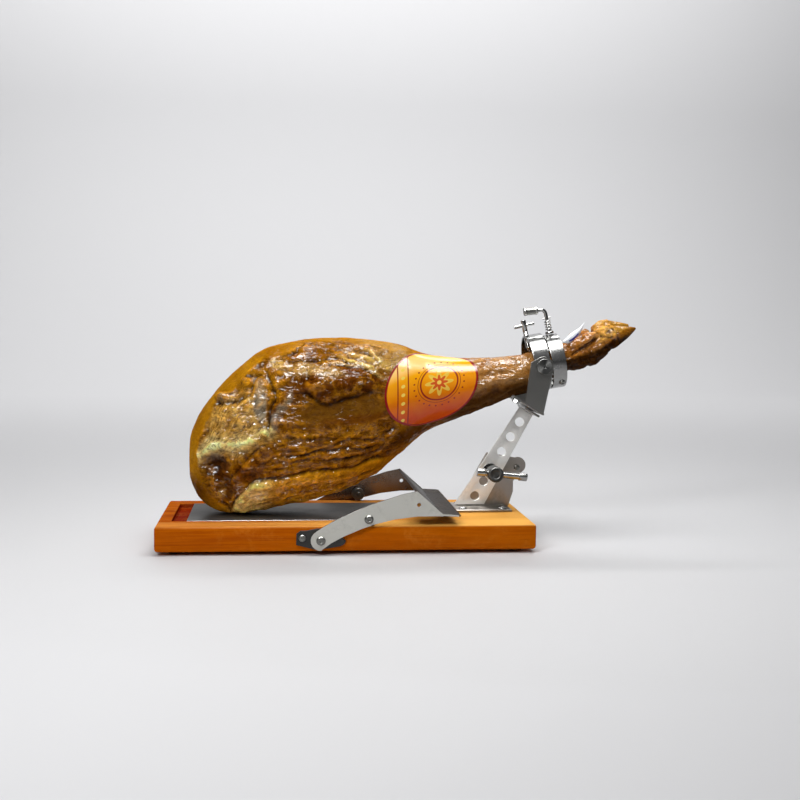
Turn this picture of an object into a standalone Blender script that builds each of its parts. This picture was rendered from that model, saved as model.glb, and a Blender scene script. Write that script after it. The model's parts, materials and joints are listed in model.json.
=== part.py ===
"""A whole cured ham clamped in its steel and wood carving stand.

Units are metres, +Z is up and the stand is seen from -Y, with the hoof to the
right (+X).  Lengths along X are measured from the middle of the board; the
empty "stand_frame" then moves everything so that the origin lies under the
middle of the whole object, on the surface that its feet stand on.
"""
import math

import bmesh
import bpy
import numpy as np
from mathutils import Matrix, Vector

# ---------------------------------------------------------------- driving sizes
OVERHANG_SHIFT = -0.0832      # the hoof reaches past the board: centres the whole
GAP = 0.0003                  # play between touching pieces
STEP_IN = 0.0007              # a joined sheet ends this far inside the face it meets

BOARD_LENGTH, BOARD_DEPTH, BOARD_THICKNESS = 0.520, 0.212, 0.035
BOARD_EDGE = 0.004
FOOT_HEIGHT, FOOT_RADIUS = 0.005, 0.011
FOOT_INSET = 0.026
BOARD_TOP = FOOT_HEIGHT + BOARD_THICKNESS

STAND_Y = 0.006               # tray, clamp and ham share this middle plane
TRAY_LEFT, TRAY_RIGHT = -0.2205, 0.0560
TRAY_DEPTH, TRAY_SHEET = 0.140, 0.0015
GROOVE_WIDTH, GROOVE_DROP = 0.0205, 0.006

PIVOT = (-0.0378, 0.0209)     # hinge of the swinging rest (x, z)
STOP = (0.0268, 0.0498)       # stop bolts of the rest
STOP_SLEEVE = (0.0095, 0.0140)    # radius and length of the sleeves that rest on the board
SHEET = 0.003                 # steel sheet of the rest, yoke and hinge plates
HINGE_Y = BOARD_DEPTH / 2 + GAP + SHEET / 2
ARM_Y = HINGE_Y + SHEET + GAP
FOLD_TOP = (0.0925, 0.0875)   # upper corner where the arms turn into the web
FOLD_FOOT = (0.1285, 0.0548)
LIP_END = (0.1500, 0.0535)
LIP_TEETH, TOOTH_DEPTH = 26, 0.0035

BASE_X = (0.1590, 0.2450)     # base plate of the tower
BASE_Y = (-0.0110, 0.0570)
BASE_SHEET = 0.0035
BAR_Y, BAR_SHEET = 0.0300, 0.004
BAR_FOOT, BAR_LEAN, BAR_LENGTH = (0.1895, 0.0468), math.radians(30.6), 0.1608
BAR_WIDTH_LOW, BAR_WIDTH_HIGH = 0.0385, 0.0235
BAR_CUT = 0.0452              # height of the bar's level lower end
HOLE_RADIUS, HOLE_PITCH, FIRST_HOLE = 0.0068, 0.0258, 0.0131
CLAMP_ALONG = 0.0575          # height of the clamp stud along the bar
CLAMPED_HOLE = 2              # this hole lies behind the stud's washer

RING_TILT = math.radians(10.0)
RING_WALL = 0.003
RING_LEFT = dict(centre=(0.2800, 0.2585), radius=0.0425, width=0.0235)
RING_RIGHT = dict(centre=(0.3048, 0.2612), radius=0.0396, width=0.0205)
YOKE_HALF = 0.0465            # half the width of the yoke over its arms
PLATE_PROUD = 0.0010          # the foot plate stands this far out past the arms
YOKE_BOLT = (0.2807, 0.2552)
ARM_SHOULDER = (0.2622, 0.2610)    # upper left corner of the yoke's arms
PLATE_START, PLATE_LENGTH = (0.2379, 0.2140), 0.0520
PLATE_NOTCH, LUG_WIDTH = 0.0125, 0.0115    # the foot plate is notched to clear the shank

CLAMP_SCREW_TILT = math.radians(13.0)
CLAMP_SCREW_TOP = (0.2588, 0.3205)
CLAMP_SCREW_LENGTH = 0.0465
PLUNGER_FOOT = (0.2990, 0.3013)
PLUNGER_TILT = math.radians(13.0)

LEG_SIDES = 30                # points round the ham
LEG_STATIONS = 34             # sections along the ham

# Sections of the leg from the butt to the pastern: where it is, the lowest and
# highest point there, and half its depth from front to back.
LEG_SECTIONS = (
    (-0.2215, 0.1120, 0.1120, 0.0000),
    (-0.2180, 0.0895, 0.1490, 0.0300),
    (-0.2098, 0.0700, 0.1754, 0.0430),
    (-0.1950, 0.0530, 0.2000, 0.0550),
    (-0.1745, 0.0432, 0.2265, 0.0640),
    (-0.1500, 0.0409, 0.2500, 0.0700),
    (-0.1180, 0.0450, 0.2740, 0.0745),
    (-0.0850, 0.0518, 0.2840, 0.0760),
    (-0.0400, 0.0612, 0.2912, 0.0750),
    (0.0000, 0.0735, 0.2914, 0.0715),
    (0.0400, 0.0950, 0.2896, 0.0650),
    (0.0800, 0.1262, 0.2825, 0.0570),
    (0.1150, 0.1555, 0.2700, 0.0480),
    (0.1500, 0.1715, 0.2650, 0.0400),
    (0.2000, 0.1908, 0.2645, 0.0335),
    (0.2486, 0.2100, 0.2690, 0.0295),
    (0.2800, 0.2193, 0.2770, 0.0280),
    (0.3030, 0.2350, 0.2850, 0.0255),
    (0.3260, 0.2478, 0.2895, 0.0240),
    (0.3400, 0.2488, 0.2950, 0.0235),
    (0.3520, 0.2525, 0.3000, 0.0225),
    (0.3690, 0.2650, 0.3070, 0.0210),
    (0.3850, 0.2770, 0.3140, 0.0190),
    (0.3980, 0.2880, 0.3150, 0.0130),
    (0.4030, 0.3010, 0.3010, 0.0000),
)
# Digits and dewclaws: middle, long axis direction (x, y, z), half sizes along
# it, across it and up from it.
DIGITS = (
    ((0.3975, -0.0050, 0.3010), (0.93, 0.02, 0.36), (0.0310, 0.0118, 0.0150)),
    ((0.3960, 0.0165, 0.3095), (0.97, -0.03, 0.20), (0.0300, 0.0110, 0.0125)),
    ((0.3480, -0.0150, 0.2925), (0.86, 0.06, 0.50), (0.0205, 0.0068, 0.0072)),
    ((0.3500, 0.0190, 0.2990), (0.90, -0.05, 0.42), (0.0180, 0.0065, 0.0072)),
)
# Creases on the side that faces -Y: points (x, z), depth and half width.
CREASES = (
    (((-0.151, 0.053), (-0.117, 0.073), (-0.070, 0.088), (-0.034, 0.102), (0.068, 0.118)), 0.0075, 0.010),
    (((-0.107, 0.259), (-0.112, 0.207), (-0.116, 0.158), (-0.124, 0.132)), 0.0075, 0.009),
    (((-0.062, 0.206), (-0.023, 0.197), (0.012, 0.203), (0.052, 0.208)), 0.0050, 0.009),
)

LABEL_MIDDLE, LABEL_RADII = (0.1195, 0.2210), (0.0685, 0.0495)
LABEL_LIFT, LABEL_SHEET = 0.0006, 0.0006


# ---------------------------------------------------------------- scene helpers
def clear_scene():
    """Remove the startup objects."""
    for item in list(bpy.data.objects):
        bpy.data.objects.remove(item, do_unlink=True)


def make_material(name, colour, roughness, metallic=0.0):
    """A Principled surface with one colour, roughness and metallic value."""
    material = bpy.data.materials.new(name)
    material.use_nodes = True
    shader = material.node_tree.nodes["Principled BSDF"]
    shader.inputs["Base Color"].default_value = (*colour, 1.0)
    shader.inputs["Roughness"].default_value = roughness
    shader.inputs["Metallic"].default_value = metallic
    material.diffuse_color = (*colour, 1.0)
    return material


clear_scene()
PARTS = bpy.data.collections.new("cured_ham_on_stand")
CUTTERS = bpy.data.collections.new("cutters")
bpy.context.scene.collection.children.link(PARTS)
bpy.context.scene.collection.children.link(CUTTERS)
STAND_FRAME = bpy.data.objects.new("stand_frame", None)
STAND_FRAME.location = (OVERHANG_SHIFT, 0.0, 0.0)
PARTS.objects.link(STAND_FRAME)

WOOD = make_material("varnished_wood", (0.42, 0.14, 0.02), 0.3)
STEEL = make_material("satin_steel", (0.56, 0.56, 0.54), 0.3, 1.0)
POLISHED = make_material("polished_steel", (0.68, 0.68, 0.67), 0.12, 1.0)
BLACK = make_material("black_hinge_paint", (0.03, 0.03, 0.025), 0.4)
RUBBER = make_material("black_rubber", (0.02, 0.02, 0.02), 0.8)
RIND = make_material("cured_rind", (0.34, 0.15, 0.04), 0.35)
PAPER = make_material("label_paper", (0.75, 0.27, 0.02), 0.3)
WHITE = make_material("tag_paper", (0.85, 0.86, 0.88), 0.5)


def link(name, mesh, material, parent=STAND_FRAME):
    """Put a mesh into the parts collection as one named piece."""
    piece = bpy.data.objects.new(name, mesh)
    PARTS.objects.link(piece)
    piece.parent = parent
    piece.data.materials.append(material)
    return piece


def link_cutter(name, mesh):
    """Put a mesh into the cutters collection: it shapes others, it isn't a piece."""
    cutter = bpy.data.objects.new(name, mesh)
    CUTTERS.objects.link(cutter)
    cutter.parent = STAND_FRAME
    cutter.hide_render = True
    cutter.display_type = "WIRE"
    return cutter


def apply_boolean(piece, cutter, operation):
    """Add an exact Boolean of a cutter to a piece."""
    step = piece.modifiers.new(operation.lower(), "BOOLEAN")
    step.operation = operation
    step.solver = "EXACT"
    step.object = cutter


def smooth(mesh, angle=35.0):
    """Shade round stretches smooth and keep real edges sharp."""
    mesh.shade_smooth()
    mesh.set_sharp_from_angle(angle=math.radians(angle))
    return mesh


def box_mesh(name, low, high, edge=0.0):
    """A box between two corners, with rounded edges where edge is given."""
    low, high = Vector(low), Vector(high)
    build = bmesh.new()
    bmesh.ops.create_cube(build, size=1.0)
    bmesh.ops.scale(build, vec=high - low, verts=build.verts)
    bmesh.ops.translate(build, vec=(low + high) / 2, verts=build.verts)
    if edge:
        bmesh.ops.bevel(build, geom=build.edges[:], offset=edge, segments=2,
                        profile=0.5, affect="EDGES", clamp_overlap=True)
    mesh = bpy.data.meshes.new(name)
    build.to_mesh(mesh)
    build.free()
    return mesh


def aim(origin, direction):
    """A matrix whose Z axis points along direction, at origin."""
    turn = Vector(direction).to_track_quat("Z", "Y").to_matrix().to_4x4()
    return Matrix.Translation(origin) @ turn


def turned_mesh(name, profile, origin, direction, sides=24, closed=False):
    """Revolve a profile of (radius, height) pairs, listed from the top down.

    The profile stands at +X of a local frame, a Screw modifier carries it
    round Z, and the result is moved so that Z points along direction.
    """
    points = [(radius, 0.0, height) for radius, height in profile]
    edges = [(i, i + 1) for i in range(len(points) - 1)]
    if closed:
        edges.append((len(points) - 1, 0))
    mesh = bpy.data.meshes.new(name + "_profile")
    mesh.from_pydata(points, edges, [])
    shape = bpy.data.objects.new(name + "_profile", mesh)
    bpy.context.scene.collection.objects.link(shape)
    screw = shape.modifiers.new("turn", "SCREW")
    screw.axis = "Z"
    screw.steps = sides
    screw.render_steps = sides
    screw.use_merge_vertices = True
    screw.merge_threshold = 0.00005
    solid = evaluated_copy(shape, name)
    solid.transform(aim(origin, direction))
    return smooth(solid)


def evaluated_copy(shape, name):
    """The mesh that a helper object evaluates to, welded; the helper goes."""
    bpy.context.view_layer.update()
    state = bpy.context.evaluated_depsgraph_get()
    mesh = bpy.data.meshes.new_from_object(shape.evaluated_get(state))
    mesh.name = name
    mesh.transform(shape.matrix_world)
    bpy.data.objects.remove(shape, do_unlink=True)
    build = bmesh.new()
    build.from_mesh(mesh)
    bmesh.ops.remove_doubles(build, verts=build.verts, dist=0.00001)
    build.to_mesh(mesh)
    build.free()
    return mesh


def circle(centre, radius, sides=20, start=0.0, sweep=2 * math.pi):
    """Points on an arc in the XZ plane; a full turn leaves out the last one."""
    full = abs(sweep - 2 * math.pi) < 1e-6
    count = sides if full else sides + 1
    return [(centre[0] + radius * math.cos(start + sweep * i / sides),
             centre[1] + radius * math.sin(start + sweep * i / sides))
            for i in range(count)]


def plate_mesh(name, outlines, thickness, middle_y):
    """A flat plate parallel to XZ: the first outline is its edge, the rest are holes."""
    curve = bpy.data.curves.new(name + "_outline", "CURVE")
    curve.dimensions = "2D"
    curve.fill_mode = "BOTH"
    curve.extrude = thickness / 2
    for outline in outlines:
        spline = curve.splines.new("POLY")
        spline.points.add(len(outline) - 1)
        for point, (x, z) in zip(spline.points, outline):
            point.co = (x, z, 0.0, 1.0)
        spline.use_cyclic_u = True
    shape = bpy.data.objects.new(name + "_outline", curve)
    shape.rotation_euler = (math.pi / 2, 0.0, 0.0)
    shape.location = (0.0, middle_y, 0.0)
    bpy.context.scene.collection.objects.link(shape)
    mesh = evaluated_copy(shape, name)
    return smooth(mesh, 30.0)


def laid_plate(name, outline, thickness, origin, run, middle_y):
    """A plate whose outline is given along a direction (x, z) and along Y, from origin (x, z)."""
    mesh = plate_mesh(name, [outline], thickness, 0.0)
    lay = Matrix(((run[0], -run[1], 0, origin[0]), (0, 0, 1, middle_y),
                  (run[1], run[0], 0, origin[1]), (0, 0, 0, 1)))
    mesh.transform(lay)
    return outward(mesh)


def outward(mesh):
    """Point all faces of a closed mesh outwards."""
    build = bmesh.new()
    build.from_mesh(mesh)
    bmesh.ops.recalc_face_normals(build, faces=build.faces)
    build.to_mesh(mesh)
    build.free()
    return mesh


def tube_mesh(name, points, radius, resolution=2):
    """A round bar along a chain of points, with closed ends."""
    curve = bpy.data.curves.new(name + "_path", "CURVE")
    curve.dimensions = "3D"
    curve.bevel_depth = radius
    curve.bevel_resolution = resolution
    curve.use_fill_caps = True
    spline = curve.splines.new("POLY")
    spline.points.add(len(points) - 1)
    for point, place in zip(spline.points, points):
        point.co = (*place, 1.0)
    shape = bpy.data.objects.new(name + "_path", curve)
    bpy.context.scene.collection.objects.link(shape)
    return smooth(evaluated_copy(shape, name), 50.0)


def rod_profile(radius, length, edge=0.0005):
    """Profile of a plain cylinder with broken edges, from the top down."""
    return ((0.0, length), (radius - edge, length), (radius, length - edge),
            (radius, edge), (radius - edge, 0.0), (0.0, 0.0))


def rod(name, start, end, radius, material, sides=20):
    """A straight cylinder between two points as one piece."""
    start, end = Vector(start), Vector(end)
    profile = rod_profile(radius, (end - start).length)
    return link(name, turned_mesh(name, profile, start, end - start, sides), material)


def join_meshes(name, first, others):
    """The exact union of a mesh with others, as one closed mesh."""
    helper = bpy.data.objects.new(name + "_union", first)
    bpy.context.scene.collection.objects.link(helper)
    guests = []
    for mesh in others:
        guest = bpy.data.objects.new(mesh.name + "_guest", mesh)
        bpy.context.scene.collection.objects.link(guest)
        apply_boolean(helper, guest, "UNION")
        guests.append(guest)
    result = evaluated_copy(helper, name)
    for guest in guests:
        bpy.data.objects.remove(guest, do_unlink=True)
    return result


# ---------------------------------------------------------------- board and tray
def make_board():
    """The varnished board with the tray's shallow bed and the cross groove."""
    half_length, half_depth = BOARD_LENGTH / 2, BOARD_DEPTH / 2
    board = link("board", box_mesh("board", (-half_length, -half_depth, FOOT_HEIGHT),
                                   (half_length, half_depth, BOARD_TOP), BOARD_EDGE), WOOD)
    near, far = STAND_Y - TRAY_DEPTH / 2, STAND_Y + TRAY_DEPTH / 2
    bed = box_mesh("tray_bed", (TRAY_LEFT - GAP, near - GAP, BOARD_TOP - TRAY_SHEET),
                   (TRAY_RIGHT + GAP, far + GAP, BOARD_TOP + 0.01))
    groove = box_mesh("cross_groove", (TRAY_LEFT - GROOVE_WIDTH, near - GAP, BOARD_TOP - GROOVE_DROP),
                      (TRAY_LEFT, far + GAP, BOARD_TOP + 0.01))
    apply_boolean(board, link_cutter("tray_bed", bed), "DIFFERENCE")
    apply_boolean(board, link_cutter("cross_groove", groove), "DIFFERENCE")
    tray_low = BOARD_TOP - TRAY_SHEET + GAP
    link("tray_plate", box_mesh("tray_plate", (TRAY_LEFT + GAP, near, tray_low),
                                (TRAY_RIGHT, far, tray_low + TRAY_SHEET), 0.0004), POLISHED)


def make_feet():
    """Four rubber feet under the board's corners."""
    number = 0
    for side_x in (-1, 1):
        for side_y in (-1, 1):
            number += 1
            place = (side_x * (BOARD_LENGTH / 2 - FOOT_INSET),
                     side_y * (BOARD_DEPTH / 2 - FOOT_INSET), 0.0)
            profile = ((0.0, FOOT_HEIGHT - GAP), (FOOT_RADIUS, FOOT_HEIGHT - GAP),
                       (FOOT_RADIUS - 0.0015, 0.0), (0.0, 0.0))
            mesh = turned_mesh(f"foot_{number}", profile, place, (0, 0, 1), 12)
            link(f"foot_{number}", mesh, RUBBER)


# ---------------------------------------------------------------- swinging rest
HINGE_OUTLINE = ((-0.0706, 0.0300), (-0.0711, 0.0147), (-0.0433, 0.0076), (-0.0120, 0.0122),
                 (-0.0060, 0.0150), (-0.0041, 0.0200), (-0.0080, 0.0235), (-0.0370, 0.0368),
                 (-0.0430, 0.0368), (-0.0574, 0.0338), (-0.0655, 0.0338))
HINGE_SCREW = (-0.0628, 0.0239)
BOLT_HOLE = 0.0042


def bolt_mesh(name, centre, near, far, head_y, side, head=0.0060, cap=0.0036):
    """A round-headed bolt along Y: its shank runs from near to far."""
    reach = abs(far - near)
    drop = abs(head_y - near)
    profile = ((0.0, drop + cap), (head * 0.75, drop + cap), (head, drop + cap * 0.5),
               (head, drop), (BOLT_HOLE - GAP, drop),
               (BOLT_HOLE - GAP, drop - reach), (0.0, drop - reach))
    return turned_mesh(name, profile, (centre[0], near, centre[1]), (0, side, 0), 12)


def make_hinges():
    """Black hinge plates on both long sides, with a screw and the pivot bolt."""
    for side, word in ((-1, "front"), (1, "back")):
        holes = [circle(HINGE_SCREW, BOLT_HOLE, 12), circle(PIVOT, BOLT_HOLE, 12)]
        mesh = plate_mesh(f"hinge_plate_{word}", [HINGE_OUTLINE] + holes, SHEET, side * HINGE_Y)
        link(f"hinge_plate_{word}", mesh, BLACK)
        inner = side * (HINGE_Y - SHEET / 2)
        outer = side * (HINGE_Y + SHEET / 2 + GAP)
        link(f"hinge_screw_{word}", bolt_mesh(f"hinge_screw_{word}", HINGE_SCREW, inner, outer, outer,
                                              side, 0.0048, 0.0022), STEEL)
        arm_face = side * (ARM_Y + SHEET / 2 + GAP)
        link(f"pivot_bolt_{word}", bolt_mesh(f"pivot_bolt_{word}", PIVOT, inner, arm_face, arm_face,
                                             side, 0.0062, 0.0034), STEEL)


def arm_outline():
    """Side view of one arm of the rest: a bowed bar with a round lower end."""
    end = circle(PIVOT, 0.0138, 8, math.radians(118), math.radians(152))
    lower = [(-0.0243, 0.0173), (-0.0071, 0.0264), (0.0169, 0.0366), (0.0342, 0.0426),
             (0.0618, 0.0494), (0.0932, 0.0533), (FOLD_FOOT[0], FOLD_FOOT[1] - SHEET / 2)]
    upper = [(FOLD_FOOT[0] + 0.001, FOLD_FOOT[1]), FOLD_TOP, (0.0717, 0.0832), (0.0528, 0.0770),
             (0.0303, 0.0700), (0.0097, 0.0618), (-0.0159, 0.0500), (-0.0364, 0.0385)]
    return end + lower + upper


def lip_mesh():
    """The sawtooth lip between the arms: a level strip whose outer edge has teeth."""
    half = ARM_Y + SHEET / 2 - STEP_IN
    pitch = 2 * half / LIP_TEETH
    reach = (Vector(LIP_END) - Vector(FOLD_FOOT)).length
    edge = []
    for tooth in range(LIP_TEETH):
        edge.append((reach, -half + tooth * pitch))
        edge.append((reach + TOOTH_DEPTH, -half + (tooth + 0.5) * pitch))
    edge.append((reach, half))
    outline = [(-SHEET / 2, half), (-SHEET / 2, -half)] + edge
    run = (Vector(LIP_END) - Vector(FOLD_FOOT)).normalized()
    return laid_plate("lip", outline, SHEET * 0.8, Vector(FOLD_FOOT), run, 0.0)


def make_rest():
    """The swinging rest: two bowed arms, the sloping web and its toothed lip, bent from one sheet."""
    web_run = Vector((FOLD_FOOT[0] - FOLD_TOP[0], FOLD_FOOT[1] - FOLD_TOP[1]))
    across = Vector((-web_run.y, web_run.x)).normalized() * (SHEET / 2)
    top, foot = Vector(FOLD_TOP) - across, Vector(FOLD_FOOT) - across
    section = [tuple(top + across), tuple(top - across), tuple(foot - across), tuple(foot + across)]
    web = plate_mesh("web", [section], 2 * (ARM_Y + SHEET / 2 - STEP_IN), 0.0)
    arms = []
    for side in (-1, 1):
        holes = [circle(PIVOT, BOLT_HOLE, 12), circle(STOP, BOLT_HOLE, 12), circle((0.0948, 0.0690), 0.0028, 10)]
        arms.append(plate_mesh(f"arm_{side}", [arm_outline()] + holes, SHEET, side * ARM_Y))
    link("rest_cradle", join_meshes("rest_cradle", arms[0], [web, arms[1], lip_mesh()]), STEEL)
    for side, word in ((-1, "front"), (1, "back")):
        face = side * (ARM_Y + SHEET / 2 + GAP)
        inner = side * (ARM_Y - SHEET / 2 - STOP_SLEEVE[1] - 0.0020)
        link(f"stop_bolt_{word}", bolt_mesh(f"stop_bolt_{word}", STOP, face, inner, face,
                                            side, 0.0062, 0.0036), STEEL)
        sleeve = ((STOP_SLEEVE[0] - 0.001, STOP_SLEEVE[1]), (STOP_SLEEVE[0], STOP_SLEEVE[1] - 0.001),
                  (STOP_SLEEVE[0], 0.0), (BOLT_HOLE, 0.0), (BOLT_HOLE, STOP_SLEEVE[1]))
        start = (STOP[0], side * (ARM_Y - SHEET / 2 - GAP), STOP[1])
        link(f"stop_sleeve_{word}", turned_mesh(f"stop_sleeve_{word}", sleeve, start, (0, -side, 0), 12,
                                                closed=True), POLISHED)


# ---------------------------------------------------------------- tower
BAR_UP = Vector((math.sin(BAR_LEAN), math.cos(BAR_LEAN)))
BAR_SIDE = Vector((math.cos(BAR_LEAN), -math.sin(BAR_LEAN)))


def on_bar(along, across=0.0):
    """A point (x, z) of the leaning bar, from its foot up and from its middle line sideways."""
    return tuple(Vector(BAR_FOOT) + BAR_UP * along + BAR_SIDE * across)


def make_bar():
    """The tapered bar with its row of holes; one lies behind the clamp washer."""
    low, high = BAR_WIDTH_LOW / 2, BAR_WIDTH_HIGH / 2
    feet = []
    for side in (-1, 1):
        start, end = Vector(on_bar(0, side * low)), Vector(on_bar(BAR_LENGTH, side * high))
        feet.append(tuple(start.lerp(end, (BAR_CUT - start.y) / (end.y - start.y))))
    outline = feet + [on_bar(BAR_LENGTH, high), on_bar(BAR_LENGTH, -high)]
    holes = [circle(on_bar(FIRST_HOLE + HOLE_PITCH * k), HOLE_RADIUS, 14)
             for k in range(6) if k != CLAMPED_HOLE]
    holes.append(circle(on_bar(CLAMP_ALONG), 0.0055, 12))
    link("tower_bar", plate_mesh("tower_bar", [outline] + holes, BAR_SHEET, BAR_Y), STEEL)


EAR_BOLT = (0.2600, 0.1000)


def make_bracket():
    """The base plate and the upright ear behind the bar, welded into one piece."""
    base_low = BOARD_TOP + GAP
    base = box_mesh("base", (BASE_X[0], BASE_Y[0], base_low),
                    (BASE_X[1], BASE_Y[1], base_low + BASE_SHEET), 0.0006)
    ear_y = BAR_Y + BAR_SHEET / 2 + GAP + BAR_SHEET / 2
    low, high = BAR_WIDTH_LOW / 2 + 0.0030, BAR_WIDTH_HIGH / 2 + 0.0045
    foot_cut = -0.004
    lobe = circle((0.2610, 0.1035), 0.0125, 9, math.radians(-55), math.radians(165))
    outline = ([on_bar(foot_cut, -low), (0.2480, BOARD_TOP + 0.002), (0.2550, 0.0640), (0.2550, 0.0800)]
               + lobe + [on_bar(0.078, -high - 0.0015)])
    outline[0] = (outline[0][0], BOARD_TOP + 0.002)
    holes = [circle(EAR_BOLT, BOLT_HOLE, 12), circle(on_bar(CLAMP_ALONG), 0.0055, 12)]
    ear = plate_mesh("ear", [outline] + holes, BAR_SHEET, ear_y)
    link("base_bracket", join_meshes("base_bracket", base, [ear]), STEEL)
    bolt = bolt_mesh("ear_bolt", EAR_BOLT, ear_y - BAR_SHEET / 2 - GAP, ear_y + 0.006,
                     ear_y - BAR_SHEET / 2 - GAP, -1, 0.0075, 0.0050)
    link("ear_bolt", bolt, POLISHED)
    number = 0
    for x in (BASE_X[0] + 0.0150, BASE_X[1] - 0.0120):
        for y in (BASE_Y[0] + 0.0130, BASE_Y[1] - 0.0090):
            number += 1
            top = base_low + BASE_SHEET + GAP
            head = ((0.0, 0.0022), (0.0034, 0.0022), (0.0056, 0.0012), (0.0062, 0.0), (0.0, 0.0))
            link(f"base_screw_{number}", turned_mesh(f"base_screw_{number}", head, (x, y, top), (0, 0, 1), 12),
                 POLISHED)


KNOB_Y = -0.0080              # middle of the tee handle
HUB_RADIUS, HANDLE_RADIUS, HANDLE_END = 0.0115, 0.0050, 0.0062
HANDLE_TILT = math.radians(-6.0)


def make_clamp_knob():
    """The stud that locks the bar, with its washer, round hub and sliding tee handle."""
    x, z = on_bar(CLAMP_ALONG)
    bar_face = BAR_Y - BAR_SHEET / 2 - GAP
    washer = ((0.0103, 0.0015), (0.0110, 0.0009), (0.0110, 0.0), (0.0058, 0.0), (0.0058, 0.0015))
    link("clamp_washer", turned_mesh("clamp_washer", washer, (x, bar_face, z), (0, -1, 0), 16, closed=True),
         POLISHED)
    stud_end = BAR_Y + 0.012
    hub_front, hub_back = KNOB_Y - 0.0115, KNOB_Y + 0.0115
    length = stud_end - hub_front
    hub = ((0.0, length), (0.0098, length), (HUB_RADIUS, length - 0.0017),
           (HUB_RADIUS, length - (hub_back - hub_front) + 0.001),
           (HUB_RADIUS - 0.001, length - (hub_back - hub_front)), (0.0050, length - (hub_back - hub_front)),
           (0.0050, 0.0), (0.0, 0.0))
    knob = link("clamp_knob", turned_mesh("clamp_knob", hub, (x, stud_end, z), (0, -1, 0), 16), POLISHED)
    along = Vector((math.cos(HANDLE_TILT), 0.0, math.sin(HANDLE_TILT)))
    middle = Vector((x, KNOB_Y, z))
    bore = turned_mesh("handle_bore", rod_profile(HANDLE_RADIUS + GAP, 0.06), middle - along * 0.03, along, 14)
    apply_boolean(knob, link_cutter("handle_bore", bore), "DIFFERENCE")
    left, right = -0.0265, 0.0480
    cap, r, e = 0.0120, HANDLE_RADIUS, HANDLE_END
    span = right - left
    profile = ((0.0, span), (e - 0.001, span), (e, span - 0.001), (e, span - cap), (r, span - cap),
               (r, cap), (e, cap), (e, 0.001), (e - 0.001, 0.0), (0.0, 0.0))
    link("clamp_handle", turned_mesh("clamp_handle", profile, middle + along * left, along, 14), POLISHED)


# ---------------------------------------------------------------- yoke and rings
def make_yoke():
    """The yoke: a sloping foot plate square to the bar and two upright arms."""
    drop = BAR_UP * SHEET
    half, lug = YOKE_HALF + PLATE_PROUD, LUG_WIDTH + PLATE_PROUD
    foot = [(0, -half), (PLATE_LENGTH, -half), (PLATE_LENGTH, half), (0, half),
            (0, half - lug), (PLATE_NOTCH, half - lug), (PLATE_NOTCH, lug - half), (0, lug - half)]
    middle = laid_plate("yoke_foot", foot, SHEET, Vector(PLATE_START) - drop / 2, BAR_SIDE, STAND_Y)
    top = circle(YOKE_BOLT, 0.0142, 9, math.radians(-8), math.radians(140)) + [ARM_SHOULDER]
    outline = [tuple(Vector(PLATE_START) + BAR_SIDE * 0.0205 - drop / 2),
               tuple(Vector(PLATE_START) + BAR_SIDE * 0.0515 - drop / 2)] + top
    arms = [plate_mesh(f"yoke_arm_{side}", [outline, circle(YOKE_BOLT, BOLT_HOLE, 12)], SHEET,
                       STAND_Y + side * (YOKE_HALF - SHEET / 2)) for side in (-1, 1)]
    link("yoke", join_meshes("yoke", middle, arms), STEEL)
    for side, word in ((-1, "front"), (1, "back")):
        face = STAND_Y + side * (YOKE_HALF + GAP)
        inner = STAND_Y + side * (RING_LEFT["radius"] + GAP)
        link(f"yoke_bolt_{word}", bolt_mesh(f"yoke_bolt_{word}", YOKE_BOLT, face, inner, face,
                                            side, 0.0112, 0.0042), POLISHED)
    flange_top = BAR_LENGTH + GAP
    corner = Vector(on_bar(flange_top, -0.0125))
    flange = [tuple(corner), tuple(corner + BAR_SIDE * 0.025), tuple(corner + BAR_SIDE * 0.025 + BAR_UP * SHEET),
              tuple(corner + BAR_UP * SHEET)]
    link("bar_head", plate_mesh("bar_head", [flange], 0.052, STAND_Y + 0.010), STEEL)
    nut_place = Vector(PLATE_START) + BAR_SIDE * 0.009 - drop - BAR_UP * GAP
    nut = ((0.0, 0.0050), (0.0060, 0.0050), (0.0060, 0.0), (0.0, 0.0))
    link("yoke_nut", turned_mesh("yoke_nut", nut, (nut_place.x, STAND_Y - YOKE_HALF + 0.0068, nut_place.y),
                                 (-BAR_UP.x, 0, -BAR_UP.y), 6), POLISHED)


RING_AXIS = Vector((math.cos(RING_TILT), 0.0, math.sin(RING_TILT)))
RING_UP = Vector((-math.sin(RING_TILT), 0.0, math.cos(RING_TILT)))


def ring_point(ring, along=0.0, up=0.0):
    """A point of a ring's own frame: along its axis and up from it."""
    x, z = ring["centre"]
    return Vector((x, STAND_Y, z)) + RING_AXIS * along + RING_UP * up


def make_ring(name, ring, material):
    """A flat band bent into a hoop round the shank."""
    outer, inner, half, edge = ring["radius"], ring["radius"] - RING_WALL, ring["width"] / 2, 0.0006
    profile = ((outer - edge, half), (outer, half - edge), (outer, edge - half), (outer - edge, -half),
               (inner, -half), (inner, half))
    link(name, turned_mesh(name, profile, ring_point(ring), RING_AXIS, 32, closed=True), material)


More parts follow.
